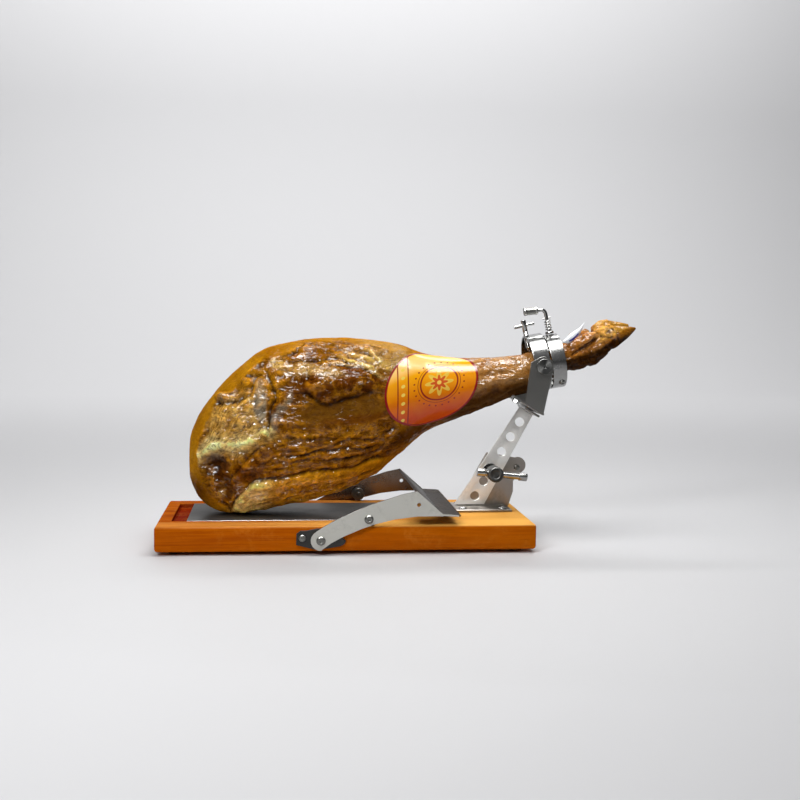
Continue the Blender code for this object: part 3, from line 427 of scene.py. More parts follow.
def turned(name, profile, origin, axis, sides=72, closed=False, socket=None, angle=35):
    """Lathe work: point = origin + h * axis + r * (cos a * u + sin a * v) over a profile of (r, h).

    A closed profile makes a ring.  socket=(index, sides) makes every profile point from
    that index on follow a polygon, r / cos(distance to the middle of a flat), as in a
    hexagon socket.
    """
    axis, u, v = across(axis)
    profile = np.asarray(profile, float)
    if closed:
        profile = np.vstack([profile, profile[:1]])
    a = np.linspace(0, 2 * math.pi, sides, endpoint=False)
    r = np.repeat(profile[:, :1], sides, axis=1)
    if socket:
        start, flats = socket
        turn = (a + math.pi / flats) % (2 * math.pi / flats) - math.pi / flats
        r[start:] = r[start:] / np.cos(turn) * math.cos(math.pi / flats) ** 0.5
    h = profile[:, 1:2]
    points = (np.asarray(origin, float) + h[..., None] * axis
              + r[..., None] * (np.cos(a)[:, None] * u + np.sin(a)[:, None] * v))
    return finished(make_mesh(name, points, grid_faces(len(profile), sides, wrap=True)), angle)


def bar_between(name, start, end, radius, edge=0.0006, sides=40):
    """A straight round bar with eased ends."""
    start, end = np.asarray(start, float), np.asarray(end, float)
    length = np.linalg.norm(end - start)
    profile = eased([(0, length), (radius, length), (radius, 0), (0, 0)], edge)
    return turned(name, profile, start, end - start, sides)


def swept(name, path, radius, sides=20):
    """A round bar along a path: rings square to it, carried along without twist, closed at both ends."""
    way = np.gradient(path, axis=0)
    way /= np.linalg.norm(way, axis=1, keepdims=True)
    side = [across(way[0])[1]]
    for direction in way[1:]:
        step = side[-1] - direction * side[-1].dot(direction)
        side.append(step / np.linalg.norm(step))
    side = np.array(side)
    lift = np.cross(way, side)
    a = np.linspace(0, 2 * math.pi, sides, endpoint=False)
    ring = np.cos(a)[:, None] * side[:, None] + np.sin(a)[:, None] * lift[:, None]
    points = np.concatenate([np.repeat(path[:1, None], sides, 1), path[:, None] + radius * ring,
                             np.repeat(path[-1:, None], sides, 1)])
    return finished(make_mesh(name, points, grid_faces(len(points), sides, wrap=True)), 50)


print("one rounded corner is", len(eased([(0, 0), (0.01, 0), (0.01, 0.01)], 0.001)) - 2, "points")


# %% Dressed copies of the sheet-metal solids
def dressed(node, material, edge=0.0005, segments=2, angle=28):
    """A copy of a solid: doubles merged, flat faces made whole, edges rounded by a bevel."""
    build = bmesh.new()
    build.from_mesh(nodes[node].data)
    bmesh.ops.remove_doubles(build, verts=build.verts, dist=1e-5)
    bmesh.ops.dissolve_limit(build, angle_limit=math.radians(0.6), verts=build.verts, edges=build.edges)
    mesh = bpy.data.meshes.new(node + "_dressed")
    build.to_mesh(mesh)
    build.free()
    mesh.materials.clear()
    mesh.shade_smooth()
    mesh.set_sharp_from_angle(angle=math.radians(angle))
    piece = new_piece(node + "_dressed", mesh, material, node)
    bevel = piece.modifiers.new("eased_edges", "BEVEL")
    bevel.width, bevel.segments, bevel.limit_method = edge, segments, "ANGLE"
    bevel.angle_limit, bevel.harden_normals = math.radians(angle), True
    return piece


def plate(name, outlines, thickness, middle_y, edge=0.0004):
    """A flat plate parallel to XZ with round holes: a filled flat curve with a rounded rim, made a mesh."""
    curve = bpy.data.curves.new(name, "CURVE")
    curve.dimensions, curve.fill_mode = "2D", "BOTH"
    curve.extrude, curve.bevel_depth, curve.bevel_resolution = thickness / 2 - edge, edge, 2
    curve.offset = -edge
    for outline in outlines:
        spline = curve.splines.new("POLY")
        spline.points.add(len(outline) - 1)
        flat = np.zeros((len(outline), 4))
        flat[:, :2], flat[:, 3] = outline, 1.0
        spline.points.foreach_set("co", flat.ravel())
        spline.use_cyclic_u = True
    shape = bpy.data.objects.new(name + "_curve", curve)
    bpy.context.scene.collection.objects.link(shape)
    bpy.context.view_layer.update()
    mesh = bpy.data.meshes.new_from_object(shape.evaluated_get(bpy.context.evaluated_depsgraph_get()))
    bpy.data.objects.remove(shape)
    mesh.transform(Matrix.Translation((0, middle_y, 0)) @ Matrix.Rotation(math.pi / 2, 4, "X"))
    return finished(mesh, 40)


def circle(centre, radius, sides=64):
    """Points of a circle in the XZ plane."""
    a = np.linspace(0, 2 * math.pi, sides, endpoint=False)
    return np.stack([centre[0] + radius * np.cos(a), centre[1] + radius * np.sin(a)], -1)


print("shape helpers ready")
# %% [markdown]
# ## Finishes of the stand
# The real stand mixes a belt-ground sheet (arms, bar, yoke, hoops), a smooth rolled tray
# that mirrors softly, turned and polished fasteners, and black painted hinge plates.
# They differ mostly in roughness and in the way the fine lines run.  The bracket's darker,
# browner colour is painted shade and painted reflection, and the brown tint of the cradle's
# polished faces is a painted reflection.

# %% Steel, black paint and rubber
def make_steel(name, colour, rough, spread, lines, marks=0.10, bump=0.00002, edge=1.0):
    """Metal whose belt lines have lines (x, y, z) features per metre; edge dims it at a grazing angle."""
    material, tree, shader, place = new_material(name)
    squeezed = stretched(tree, place, lines)
    belt = place_group(tree, belt_lines, {"Vector": squeezed, "Rough": rough, "Spread": spread})
    smudge = place_group(tree, finger_marks, {"Vector": place})
    roughness = sums(tree, "ADD", belt.outputs["Roughness"],
                     times(tree, smudge.outputs["Mask"], marks), clamp=True)
    tone = mixed(tree, smudge.outputs["Mask"], (*colour, 1), (*(c * 0.86 for c in colour), 1))
    feed(tree, shader, {"Base Color": tone, "Roughness": roughness, "Metallic": 1.0,
                        "Specular Tint": (edge, edge, edge, 1.0),
                        "Normal": bumped(tree, belt.outputs["Height"], bump, 0.5)})
    return material


(arm_steel, bar_steel, shaded_bracket_steel, yoke_steel, hoop_steel, tray_steel, reflection_tinted_steel, bright_steel,
 dark_steel) = (make_steel(*row) for row in (
    ("belt_ground_steel", (0.53, 0.525, 0.485), 0.46, 0.20, (90, 500, 1500)),
    ("belt_ground_bar", (0.84, 0.83, 0.80), 0.46, 0.20, (1400, 500, 160), 0.15, 4e-5),
    # painted shade and painted reflection: the bracket behind the bar is tinted darker and browner
    ("rolled_bracket_steel", (0.32, 0.29, 0.26), 0.30, 0.14, (300, 500, 900), 0.15, 2e-6),
    ("rolled_yoke_steel", (0.27, 0.265, 0.25), 0.30, 0.12, (300, 300, 900), 0.15, 4e-6),
    ("hoop_steel", (0.27, 0.27, 0.265), 0.20, 0.12, (900, 40, 40), 0.10, 3e-6),
    ("rolled_tray_steel", (0.25, 0.245, 0.24), 0.33, 0.10, (30, 900, 900), 0.10, 3e-6, 0.30),
    # painted reflection: the cradle's polished faces are tinted darker and browner than its front arm
    ("polished_cross_plate", (0.24, 0.20, 0.17), 0.20, 0.12, (40, 700, 700), 0.15, 6e-6, 0.25),
    ("polished_steel", (0.36, 0.36, 0.35), 0.17, 0.05, (700, 700, 700), 0.08, 1e-6),
    ("dark_burnished_steel", (0.20, 0.20, 0.185), 0.30, 0.10, (500, 500, 500), 0.10, 2e-6)))


def make_turned_face(name, colour, rough, centre):
    """Lathe-turned steel: rings round a point (x, z), and light that fans out in a bow tie across them."""
    material, tree, shader, place = new_material(name)
    parts = put(tree, "SeparateXYZ", {"Vector": place}).outputs
    flat = put(tree, "CombineXYZ", {"X": sums(tree, "SUBTRACT", parts["X"], centre[0]),
                                    "Z": sums(tree, "SUBTRACT", parts["Z"], centre[1])}).outputs["Vector"]
    radius = put(tree, "VectorMath", {0: flat}, operation="LENGTH").outputs["Value"]
    rings = put(tree, "TexNoise", {"W": radius, "Scale": 1400.0, "Detail": 2.0}, noise_dimensions="1D")
    rings = rings.outputs["Fac"]
    round_about = put(tree, "Tangent", {}, direction_type="RADIAL", axis="Y")
    tone = mixed(tree, ranged(tree, rings, 0.35, 0.65), (*colour, 1), (*(c * 0.7 for c in colour), 1))
    feed(tree, shader, {"Base Color": tone, "Roughness": rough, "Metallic": 1.0, "Anisotropic": 0.9,
                        "Tangent": round_about.outputs["Tangent"],
                        "Normal": bumped(tree, rings, 0.00002, 0.5)})
    return material


bolt_middle, hub_middle = (corners(node)[2][::2] for node in ("yoke_bolt_front", "clamp_knob"))
bolt_face = make_turned_face("turned_bolt_face", (0.17, 0.17, 0.165), 0.34, bolt_middle)
hub_face = make_turned_face("turned_hub_face", (0.07, 0.07, 0.067), 0.34, hub_middle)


def make_coating(name, colour, rough):
    """Paint or rubber: an even colour, dulled and lightened a little where fingers wear it."""
    material, tree, shader, place = new_material(name)
    smudge = place_group(tree, finger_marks, {"Vector": place})
    light = tuple(min(1.0, c * 1.6 + 0.01) for c in colour)
    tone = mixed(tree, times(tree, smudge.outputs["Mask"], 0.5), (*colour, 1), (*light, 1))
    dulled = sums(tree, "ADD", times(tree, smudge.outputs["Mask"], 0.15), rough)
    orange_peel = bumped(tree, noise(tree, place, 900.0, 2.0), 0.00003, 0.4)
    feed(tree, shader, {"Base Color": tone, "Roughness": dulled, "Normal": orange_peel})
    return material


black_paint = make_coating("black_hinge_paint", (0.012, 0.011, 0.009), 0.34)
black_rubber = make_coating("black_rubber", (0.02, 0.02, 0.02), 0.75)
print("finishes:", len(bpy.data.materials), "materials so far")

# %% [markdown]
# ## The stand's sheet-metal pieces
# Arms, yoke, bracket, tray and hinge plates keep the shape of their solids and get
# rounded edges.  The cradle is brushed on its front arm and polished everywhere else,
# where its steel is also painted darker and browner, a painted reflection of the board
# and of the ham's shaded side.
# The leaning bar is cut again as a flat curve, so that its row of holes is truly round.

# %% Dressed sheet metal
for node, material, slot, edge in (
        ("rest_cradle", arm_steel, "satin_steel", 0.0009), ("yoke", yoke_steel, "satin_steel", 0.0006),
        ("base_bracket", shaded_bracket_steel, "satin_steel", 0.0005),
        ("bar_head", yoke_steel, "satin_steel", 0.0005), ("tray_plate", tray_steel, "tray_steel", 0.00012),
        ("hinge_plate_front", black_paint, "hinge_black", 0.0006),
        ("hinge_plate_back", black_paint, "hinge_black", 0.0006)):
    dressed(node, material, edge)

cradle = bpy.data.objects["rest_cradle_dressed"].data
cradle.materials.append(reflection_tinted_steel)
normals, centres = np.zeros((2, len(cradle.polygons), 3))
cradle.polygons.foreach_get("normal", normals.ravel())
cradle.polygons.foreach_get("center", centres.ravel())
# faces other than the front arm's face get the polished steel with its painted reflection tint
polished = (np.abs(normals[:, 1]) <= 0.9) | (centres[:, 1] >= 0)
cradle.polygons.foreach_set("material_index", polished.astype(int))
print("cradle:", int(polished.sum()), "polished faces of", len(polished))

# %% The leaning bar with its row of round holes
BAR_FOOT, BAR_LEAN, BAR_LENGTH = (0.1895, 0.0468), math.radians(30.6), 0.1608
BAR_CUT, BAR_WIDTHS = 0.0452, (0.0385, 0.0235)                     # level of the cut; width at foot and head
HOLE_RADIUS, HOLE_PITCH, FIRST_HOLE = 0.0068, 0.0258, 0.0131
STUD_RADIUS, STUD_AT, STUD_HOLE = 0.0055, 0.0575, 2                # the locking stud takes one hole's place
bar_up = np.array([math.sin(BAR_LEAN), math.cos(BAR_LEAN)])
bar_side = np.array([math.cos(BAR_LEAN), -math.sin(BAR_LEAN)])


def on_bar(along, sideways=0.0):
    """A point (x, z) of the bar: up from its foot, then sideways from its middle line."""
    return np.array(BAR_FOOT) + (SHIFT, 0.0) + bar_up * along + bar_side * sideways


def bar_outline():
    """Four corners of the tapered bar, its lower end cut level."""
    low, high = BAR_WIDTHS[0] / 2, BAR_WIDTHS[1] / 2
    cut = []
    for side in (-1, 1):
        foot, head = on_bar(0, side * low), on_bar(BAR_LENGTH, side * high)
        cut.append(foot + (head - foot) * (BAR_CUT - foot[1]) / (head[1] - foot[1]))
    return np.array(cut + [on_bar(BAR_LENGTH, high), on_bar(BAR_LENGTH, -high)])


low, high, middle = corners("tower_bar")
holes = [circle(on_bar(FIRST_HOLE + HOLE_PITCH * k), HOLE_RADIUS) for k in range(6) if k != STUD_HOLE]
holes.append(circle(on_bar(STUD_AT), STUD_RADIUS))
mesh = plate("leaning_bar", [bar_outline()] + holes, high[1] - low[1], middle[1])
new_piece("leaning_bar", mesh, bar_steel, "tower_bar")
print("bar", round(BAR_LENGTH * 1000), "mm long with", len(holes), "holes")
# %% [markdown]
# ## Fasteners, sleeves and the tee handle
# Every bolt is one lathe profile with a domed head and a six-sided socket.  Its place,
# radius and reach come from the box of the solid that it stands for, so only the look of
# the head is chosen here.

# %% Button-head bolts along Y
def y_bolt(node, head_height, shank, socket, material=dark_steel, dome=0.45):
    """A bolt along Y: shank, under-head face, domed rim, then a hexagon socket sunk into the head."""
    low, high, middle = corners(node)
    side = -1 if middle[1] < 0 or node.endswith("front") else 1
    length, radius = high[1] - low[1], (high[0] - low[0]) / 2
    inner = low[1] if side > 0 else high[1]
    seat = length - head_height
    profile = [(0, 0), (shank, 0), (shank, seat), (radius, seat), (radius, length - head_height * dome),
               (radius * 0.78, length - head_height * 0.08), (socket * 1.5, length), (socket * 1.08, length)]
    profile = eased(profile, head_height * 0.28, 3)
    inside = [(socket, length - 0.0003), (socket, length - head_height * 0.62),
              (0, length - head_height * 0.72)]
    mesh = turned(node + "_turned", np.vstack([profile, inside]), (middle[0], inner, middle[2]), (0, side, 0),
                  socket=(len(profile), 6), angle=32)
    return new_piece(node + "_turned", mesh, material, node)


for end in ("front", "back"):
    y_bolt("pivot_bolt_" + end, 0.0034, 0.0039, 0.0026)
    y_bolt("stop_bolt_" + end, 0.0036, 0.0039, 0.0026)
    y_bolt("hinge_screw_" + end, 0.0022, 0.0039, 0.0021)
    y_bolt("yoke_bolt_" + end, 0.0042, 0.0039, 0.0022, bolt_face, dome=0.06)
y_bolt("ear_bolt", 0.0050, 0.0039, 0.0030)

# %% Sleeves, washer, base screws, feet and nut
for end, side in (("front", 1), ("back", -1)):
    low, high, middle = corners("stop_sleeve_" + end)
    start = low[1] if side > 0 else high[1]
    outer, length = (high[0] - low[0]) / 2, high[1] - low[1]
    ring = [(0.0042, 0), (outer - 0.0008, 0), (outer, 0.0008), (outer, length - 0.0008),
            (outer - 0.0008, length), (0.0042, length)]
    mesh = turned("sleeve_" + end, eased(ring, 0.0007), (middle[0], start, middle[2]), (0, side, 0),
                  closed=True)
    new_piece("sleeve_" + end, mesh, dark_steel, "stop_sleeve_" + end)

low, high, middle = corners("clamp_washer")
ring = [(0.0058, 0), (0.0110, 0), (0.0110, 0.0015), (0.0058, 0.0015)]
mesh = turned("stud_washer", eased(ring + ring[:1], 0.0004)[:-1], (middle[0], high[1], middle[2]),
              (0, -1, 0), closed=True)
new_piece("stud_washer", mesh, bright_steel, "clamp_washer")

for number in range(1, 5):
    node = f"base_screw_{number}"
    low, high, middle = corners(node)
    head, radius = high[2] - low[2], (high[0] - low[0]) / 2
    dome = [(0, 0), (radius, 0), (radius, head * 0.3), (radius * 0.62, head * 0.86), (0.0026, head),
            (0.0022, head)]
    inside = [(0.0019, head - 0.0003), (0.0017, head - 0.0012), (0, head - 0.0013)]
    dome = np.vstack([eased(dome, 0.0008), inside])
    mesh = turned(node + "_head", dome, (*middle[:2], low[2]), (0, 0, 1), socket=(len(dome) - len(inside), 6))
    new_piece(node + "_head", mesh, bright_steel, node)
    node = f"foot_{number}"
    low, high, middle = corners(node)
    radius, tall = (high[0] - low[0]) / 2, high[2] - low[2]
    profile = [(0, 0), (radius - 0.0012, 0), (radius, tall * 0.9), (radius - 0.0004, tall), (0, tall)]
    mesh = turned(node + "_pad", eased(profile, 0.0007), (*middle[:2], low[2]), (0, 0, 1))
    new_piece(node + "_pad", mesh, black_rubber, node)

dressed("yoke_nut", bright_steel, 0.0004)
print("sleeves, washer, 4 base screws, 4 feet, nut")

# %% [markdown]
# ### The tee handle
# A thick round hub sits on the locking stud, and a bar with a collar at each end slides
# through it.  The hub's face is turned, so light fans out across it in a bow tie.

# %% Hub and sliding bar
HANDLE_TILT = math.radians(-6.0)
handle_way = np.array([math.cos(HANDLE_TILT), 0.0, math.sin(HANDLE_TILT)])
low, high, middle = corners("clamp_knob")
hub_radius, length, hub = (high[0] - low[0]) / 2, high[1] - low[1], 0.0230
profile = [(0, 0), (0.0050, 0), (0.0050, length - hub), (hub_radius - 0.001, length - hub),
           (hub_radius, length - hub + 0.001), (hub_radius, length - 0.0017), (hub_radius - 0.0017, length),
           (0.0062, length), (0.0055, length - 0.0006), (0, length - 0.0006)]
mesh = turned("clamp_hub", eased(profile, 0.0006), (middle[0], high[1], middle[2]), (0, -1, 0), 96)
new_piece("clamp_hub", mesh, hub_face, "clamp_knob")

middle[1] = -0.0080                   # the sliding bar lies near the hub's front face
left, right, collar, thin, thick = -0.0265, 0.0480, 0.0120, 0.0050, 0.0062
span = right - left
profile = [(0, 0), (thick, 0), (thick, collar), (thin, collar),
           (thin, span - collar), (thick, span - collar), (thick, span), (0, span)]
mesh = turned("clamp_tee_bar", eased(profile, 0.0010), middle + handle_way * left, handle_way, 64)
new_piece("clamp_tee_bar", mesh, bright_steel, "clamp_handle")
print("hub radius", round(hub_radius * 1000, 1), "mm, bar", round(span * 1000), "mm")

# %% [markdown]
# ## Hoops, clamp screw and sprung catch
# Two bands of flat steel bent into hoops hold the shank, tipped back 10 degrees.  The
# left one carries the tee screw that bites into the bone, the right one a catch: collar,
# spring, cross pin and a bent rod with a dark grip.

# %% The two hoops, their spacers and the set screw
RING_TILT = math.radians(10.0)
ring_way = np.array([math.cos(RING_TILT), 0.0, math.sin(RING_TILT)])
ring_up = np.array([-math.sin(RING_TILT), 0.0, math.cos(RING_TILT)])
HOOPS = {"ring_left": ((0.2800, 0.2585), 0.0425, 0.0235),         # middle (x, z), outer radius, width
         "ring_right": ((0.3048, 0.2612), 0.0396, 0.0205)}


def hoop(node):
    """A band: rectangle 3 mm thick with eased corners, carried round the tipped axis."""
    (x, z), outer, width = HOOPS[node]
    inner, half = outer - 0.003, width / 2
    band = [(inner, -half), (outer, -half), (outer, half), (inner, half)]
    band = eased(band + band[:2], 0.0007)[:-1]
    mesh = turned(node + "_band", band, (x + SHIFT, STAND_Y, z), ring_way, 160, closed=True)
    return new_piece(node + "_band", mesh, hoop_steel, node)


for node in HOOPS:
    hoop(node)
for number in (1, 2, 3):
    node = f"ring_spacer_{number}"
    low, high, middle = corners(node)
    half = ring_way * ((high[0] - low[0]) / 2 - 0.0003) * 0.9
    mesh = bar_between(node + "_pin", middle - half, middle + half, 0.0014, 0.0002)
    new_piece(node + "_pin", mesh, bright_steel, node)

SCREW_TURN = math.radians(40)         # from straight down towards the front
spoke = -ring_up * math.cos(SCREW_TURN) - np.array([0, 1, 0]) * math.sin(SCREW_TURN)
(x, z), outer, _ = HOOPS["ring_right"]
seat = np.array([x + SHIFT, STAND_Y, z]) + ring_way * 0.003 + spoke * (outer + 0.0003)
dome = [(0, 0), (0.0046, 0), (0.0046, 0.0008), (0.0030, 0.0024), (0.0018, 0.0026), (0.0015, 0.0026)]
dome = eased(dome, 0.0006)
dome = np.vstack([dome, [(0.0013, 0.0023), (0.0013, 0.0012), (0, 0.0011)]])
mesh = turned("ring_set_screw", dome, seat, spoke, 48, socket=(len(dome) - 3, 6))
new_piece("ring_set_screw", mesh, dark_steel, "ring_screw")
print("2 hoops, 3 spacers and a set screw")

# %% The tee screw
SCREW_TILT = math.radians(13.0)
screw_up = np.array([-math.sin(SCREW_TILT), 0.0, math.cos(SCREW_TILT)])
screw_side = np.array([math.cos(SCREW_TILT), 0.0, math.sin(SCREW_TILT)])
screw_top = np.array([0.2588 + SHIFT, STAND_Y, 0.3205])
length, thread, core = 0.0465, 0.0038, 0.0034


def thread_profile():
    """A shaft with a cone tip and a fine thread on its lower two thirds, drawn as rings 1 mm apart."""
    h = np.arange(0.0062, 0.0300, 0.0005)
    r = np.where(np.arange(len(h)) % 2 == 0, thread, core)
    shaft = np.stack([r, h], -1)
    top = eased([(thread, 0.0302), (thread, length), (0, length)], 0.0008)
    return np.vstack([[(0, 0), (0.0012, 0.0), (core, 0.0060)], shaft, top])


mesh = turned("tee_screw", thread_profile(), screw_top - screw_up * length, screw_up, 48, angle=60)
new_piece("tee_screw", mesh, bright_steel, "clamp_screw")
middle, half = screw_top - screw_up * 0.0078, screw_side * 0.0150
mesh = bar_between("tee_screw_bar", middle - half, middle + half, 0.0025, 0.0008)
new_piece("tee_screw_bar", mesh, bright_steel, "clamp_bar")
print("tee screw", round(length * 1000, 1), "mm")

# %% The sprung catch
catch_foot = np.array([0.2990 + SHIFT, STAND_Y, 0.3013])
collar = [(0.0031, 0), (0.0062, 0), (0.0062, 0.0030), (0.0052, 0.0040), (0.0031, 0.0040)]
mesh = turned("catch_collar", eased(collar + collar[:1], 0.0006)[:-1], catch_foot, screw_up, closed=True)
new_piece("catch_collar", mesh, bright_steel, "plunger_collar")

turns, low_rise, high_rise, coil_radius = 4, 0.0052, 0.0200, 0.0043
t = np.linspace(0, 1, turns * 24 + 1)[:, None]
a = 2 * math.pi * turns * t
coil = (catch_foot + screw_up * (low_rise + (high_rise - low_rise) * t)
        + coil_radius * (np.cos(a) * screw_side + np.sin(a) * np.array([0, 1, 0])))
mesh = swept("catch_spring", coil, 0.0009, 12)
new_piece("catch_spring", mesh, bright_steel, "plunger_spring")

bend_at, bend_radius, rod_radius, grip_drop = 0.0290, 0.0075, 0.0027, math.radians(8.0)
grip_way = np.array([-math.cos(grip_drop), 0.0, -math.sin(grip_drop)])
start, corner = catch_foot + screw_up * bend_at, catch_foot + screw_up * (bend_at + bend_radius)
finish = corner + grip_way * bend_radius
t = np.linspace(0, 1, 17)[:, None]
bend = start * (1 - t) ** 2 + corner * 2 * t * (1 - t) + finish * t * t
rod = np.vstack([catch_foot + screw_up * 0.0004, catch_foot + screw_up * 0.012, bend,
                 finish + grip_way * 0.0030])
mesh = swept("catch_rod", rod, rod_radius, 28)
new_piece("catch_rod", mesh, bright_steel, "plunger_rod")
middle, half = catch_foot + screw_up * 0.0235, screw_side * 0.0058
mesh = bar_between("catch_pin", middle - half, middle + half, 0.0012, 0.0003, 24)
new_piece("catch_pin", mesh, bright_steel, "plunger_pin")

grip = [(0, 0), (0.0056, 0), (0.0062, 0.0008), (0.0062, 0.0030), (0.0055, 0.0040), (0.0055, 0.0165),
        (0.0062, 0.0175), (0.0062, 0.0197), (0.0056, 0.0205), (0, 0.0205)]
mesh = turned("catch_grip", eased(grip, 0.0005), finish + grip_way * 0.0033, grip_way, 56)
places, at = np.zeros((len(mesh.vertices), 3)), np.zeros(len(mesh.loops), int)
starts = np.zeros(len(mesh.polygons), int)
mesh.vertices.foreach_get("co", places.ravel())
mesh.loops.foreach_get("vertex_index", at)
mesh.polygons.foreach_get("loop_start", starts)
off_axis = np.hypot(places[:, 1] - STAND_Y, (places - finish) @ np.cross(grip_way, (0, 1, 0)))
rims = off_axis > 0.0058              # the two polished rims stand proud of the dark sleeve
mesh.materials.append(dark_steel)
mesh.materials.append(bright_steel)
mesh.polygons.foreach_set("material_index", (rims[at[starts]] & rims[at[starts + 1]]).astype(int))
new_piece("catch_grip", mesh, dark_steel, "plunger_grip")
print("catch with", turns, "turns of spring")
# %% [markdown]
# ## The board
# One oiled plank of warm hardwood with softly rounded edges and a shallow bed for the
# tray.  The bed is darker, and the top carries a painted highlight that is brightest
# at the hoof's end and along the front edge.

# %% Wood finish and the dressed board
BED_ENDS, BED_SIDES = (0.006, 0.010), (0.100, 0.096)      # where the bed fades out, from the ends and in |y|


def make_board_wood():
    """Grain along X under a clear varnish; darker in the tray's bed; a painted highlight on top, its mask
    times sun.
    """
    material, tree, shader, place = new_material("oiled_board_wood")
    grain = place_group(tree, wood_grain, {"Vector": place, "Light": (0.54, 0.122, 0.001, 1),
                                           "Dark": (0.32, 0.052, 0.001, 1)})
    fibre = grain.outputs["Fibre"]
    parts = put(tree, "SeparateXYZ", {"Vector": place}).outputs
    x, y, z = parts["X"], parts["Y"], parts["Z"]
    level = ranged(tree, z, board_high.z - 0.0016, board_high.z - 0.0004)
    inside = times(tree, ranged(tree, x, board_low.x + BED_ENDS[0], board_low.x + BED_ENDS[1]),
                   ranged(tree, sums(tree, "ABSOLUTE", y), *BED_SIDES))
    inside = times(tree, inside, ranged(tree, x, board_high.x - BED_ENDS[0], board_high.x - BED_ENDS[1]))
    bed = times(tree, sums(tree, "SUBTRACT", 1.0, level), inside)
    up = put(tree, "SeparateXYZ", {"Vector": put(tree, "NewGeometry").outputs["Normal"]}).outputs["Z"]
    # painted highlight: upward-facing faces at the top are made paler, more towards the hoof's end and the
    # front edge
    painted_top_highlight = times(tree, ranged(tree, up, 0.25, 0.75),
                   ranged(tree, z, board_high.z - 0.004, board_high.z - 0.002))
    front = ranged(tree, y, board_low.y + 0.040, board_low.y + 0.026, 0.0, 0.34)
    along = sums(tree, "ADD", ranged(tree, x, board_low.x, board_high.x, -0.10, 0.80), front)
    sun = sums(tree, "ADD", along, times(tree, sums(tree, "SUBTRACT", fibre, 0.5), 0.9), clamp=True)
    colour = mixed(tree, times(tree, painted_top_highlight, sun), grain.outputs["Color"], (1.00, 0.52, 0.115, 1))
    deep = times(tree, bed, ranged(tree, z, 0.010, 0.030))
    colour = mixed(tree, deep, colour, (0.26, 0.018, 0.001, 1))
    smudge = place_group(tree, finger_marks, {"Vector": place})
    colour = mixed(tree, times(tree, smudge.outputs["Mask"], 0.25), colour, (0.70, 0.24, 0.03, 1))
    rough = sums(tree, "ADD", times(tree, fibre, 0.25), 0.36)
    feed(tree, shader, {"Base Color": colour, "Roughness": rough, "Specular IOR Level": 0.0,
                        "Coat Weight": 0.03, "Coat Roughness": 0.20,
                        "Normal": bumped(tree, grain.outputs["Height"], 0.00012, 0.5)})
    return material


board_wood = make_board_wood()
dressed("board", board_wood, 0.0016, 3)
print("board", [round(v * 1000) for v in (board_high - board_low)], "mm")
# %% [markdown]
# ## The ham
# The skin is one fine grid.  Its ground form repeats the sections of the solid: for each
# place along the leg a lowest point, a highest point and a half depth.  On top of that
# come the forms that a trimmed ham has, each as a short list of given points
# (x, z): the raised rim of rind, the folds, the ridges over the bone and the creases
# between the muscles.  Noise of three sizes does the rest.

# %% Ground form of the leg
LEG_SECTIONS = np.array((              # x, lowest z, highest z, half depth in millimetres
    (-221.5, 112, 112, 0), (-218, 89.5, 149, 30), (-209.8, 70, 175.4, 43), (-195, 53, 200, 55),
    (-174.5, 43.2, 226.5, 64), (-150, 40.9, 250, 70), (-118, 45, 274, 74.5), (-85, 51.8, 284, 76),
    (-40, 61.2, 291.2, 75), (0, 73.5, 291.4, 71.5), (40, 95, 289.6, 65), (80, 126.2, 282.5, 57),
    (115, 155.5, 270, 48), (150, 171.5, 265, 40), (200, 190.8, 264.5, 33.5), (248.6, 210, 269, 29.5),
    (280, 219.3, 277, 28), (303, 235, 285, 25.5), (326, 247.8, 289.5, 24), (340, 248.8, 295, 23.5),
    (352, 252.5, 300, 22.5), (369, 265, 307, 21), (385, 277, 314, 19), (398, 288, 315, 13),
    (403, 301, 301, 0))) / 1000
SKIN_END = 0.3110                     # the trotter's own mesh starts inside the right hoop
ROWS, COLUMNS = 436, 226


def curve_through(x, knots, values):
    """A smooth curve through table values: cubic pieces with slopes from the neighbours."""
    slopes = np.gradient(values, knots)
    i = np.clip(np.searchsorted(knots, x) - 1, 0, len(knots) - 2)
    width = knots[i + 1] - knots[i]
    t = (x - knots[i]) / width
    return ((1 + 2 * t) * (1 - t) ** 2 * values[i] + t * (1 - t) ** 2 * width * slopes[i]
            + t * t * (3 - 2 * t) * values[i + 1] + t * t * (t - 1) * width * slopes[i + 1])


def leg_section(x):
    """Lowest point, highest point, half depth, read against sqrt(x - start) so that the butt ends round."""
    place, *sizes = LEG_SECTIONS.T
    reach = np.sqrt(place - place[0])
    at = np.sqrt(np.maximum(x - place[0], 0.0))
    low, high, depth = (curve_through(at, reach, values) for values in sizes)
    return low, high, np.maximum(depth, 0.0)


def leg_surface(x, angle):
    """Superellipse sections: y = -d * c^p, z = m + h * s^p; c, s = cos, sin of the angle, 0 at the front."""
    low, high, depth = leg_section(x)
    middle, half = (low + high) / 2, np.maximum((high - low) / 2, 0.0)
    butt = np.clip((0.06 - x) / 0.16, 0.0, 1.0)
    power = 2.0 / (2.0 + 0.45 * butt)
    c, s = np.cos(angle), np.sin(angle)
    depth = depth * np.where(c > 0, 1.0 - 0.06 * butt, 1.0 + 0.06 * butt)
    return np.stack([x + 0 * c, STAND_Y - depth * np.sign(c) * np.abs(c) ** power,
                     middle + half * np.sign(s) * np.abs(s) ** power], axis=-1)


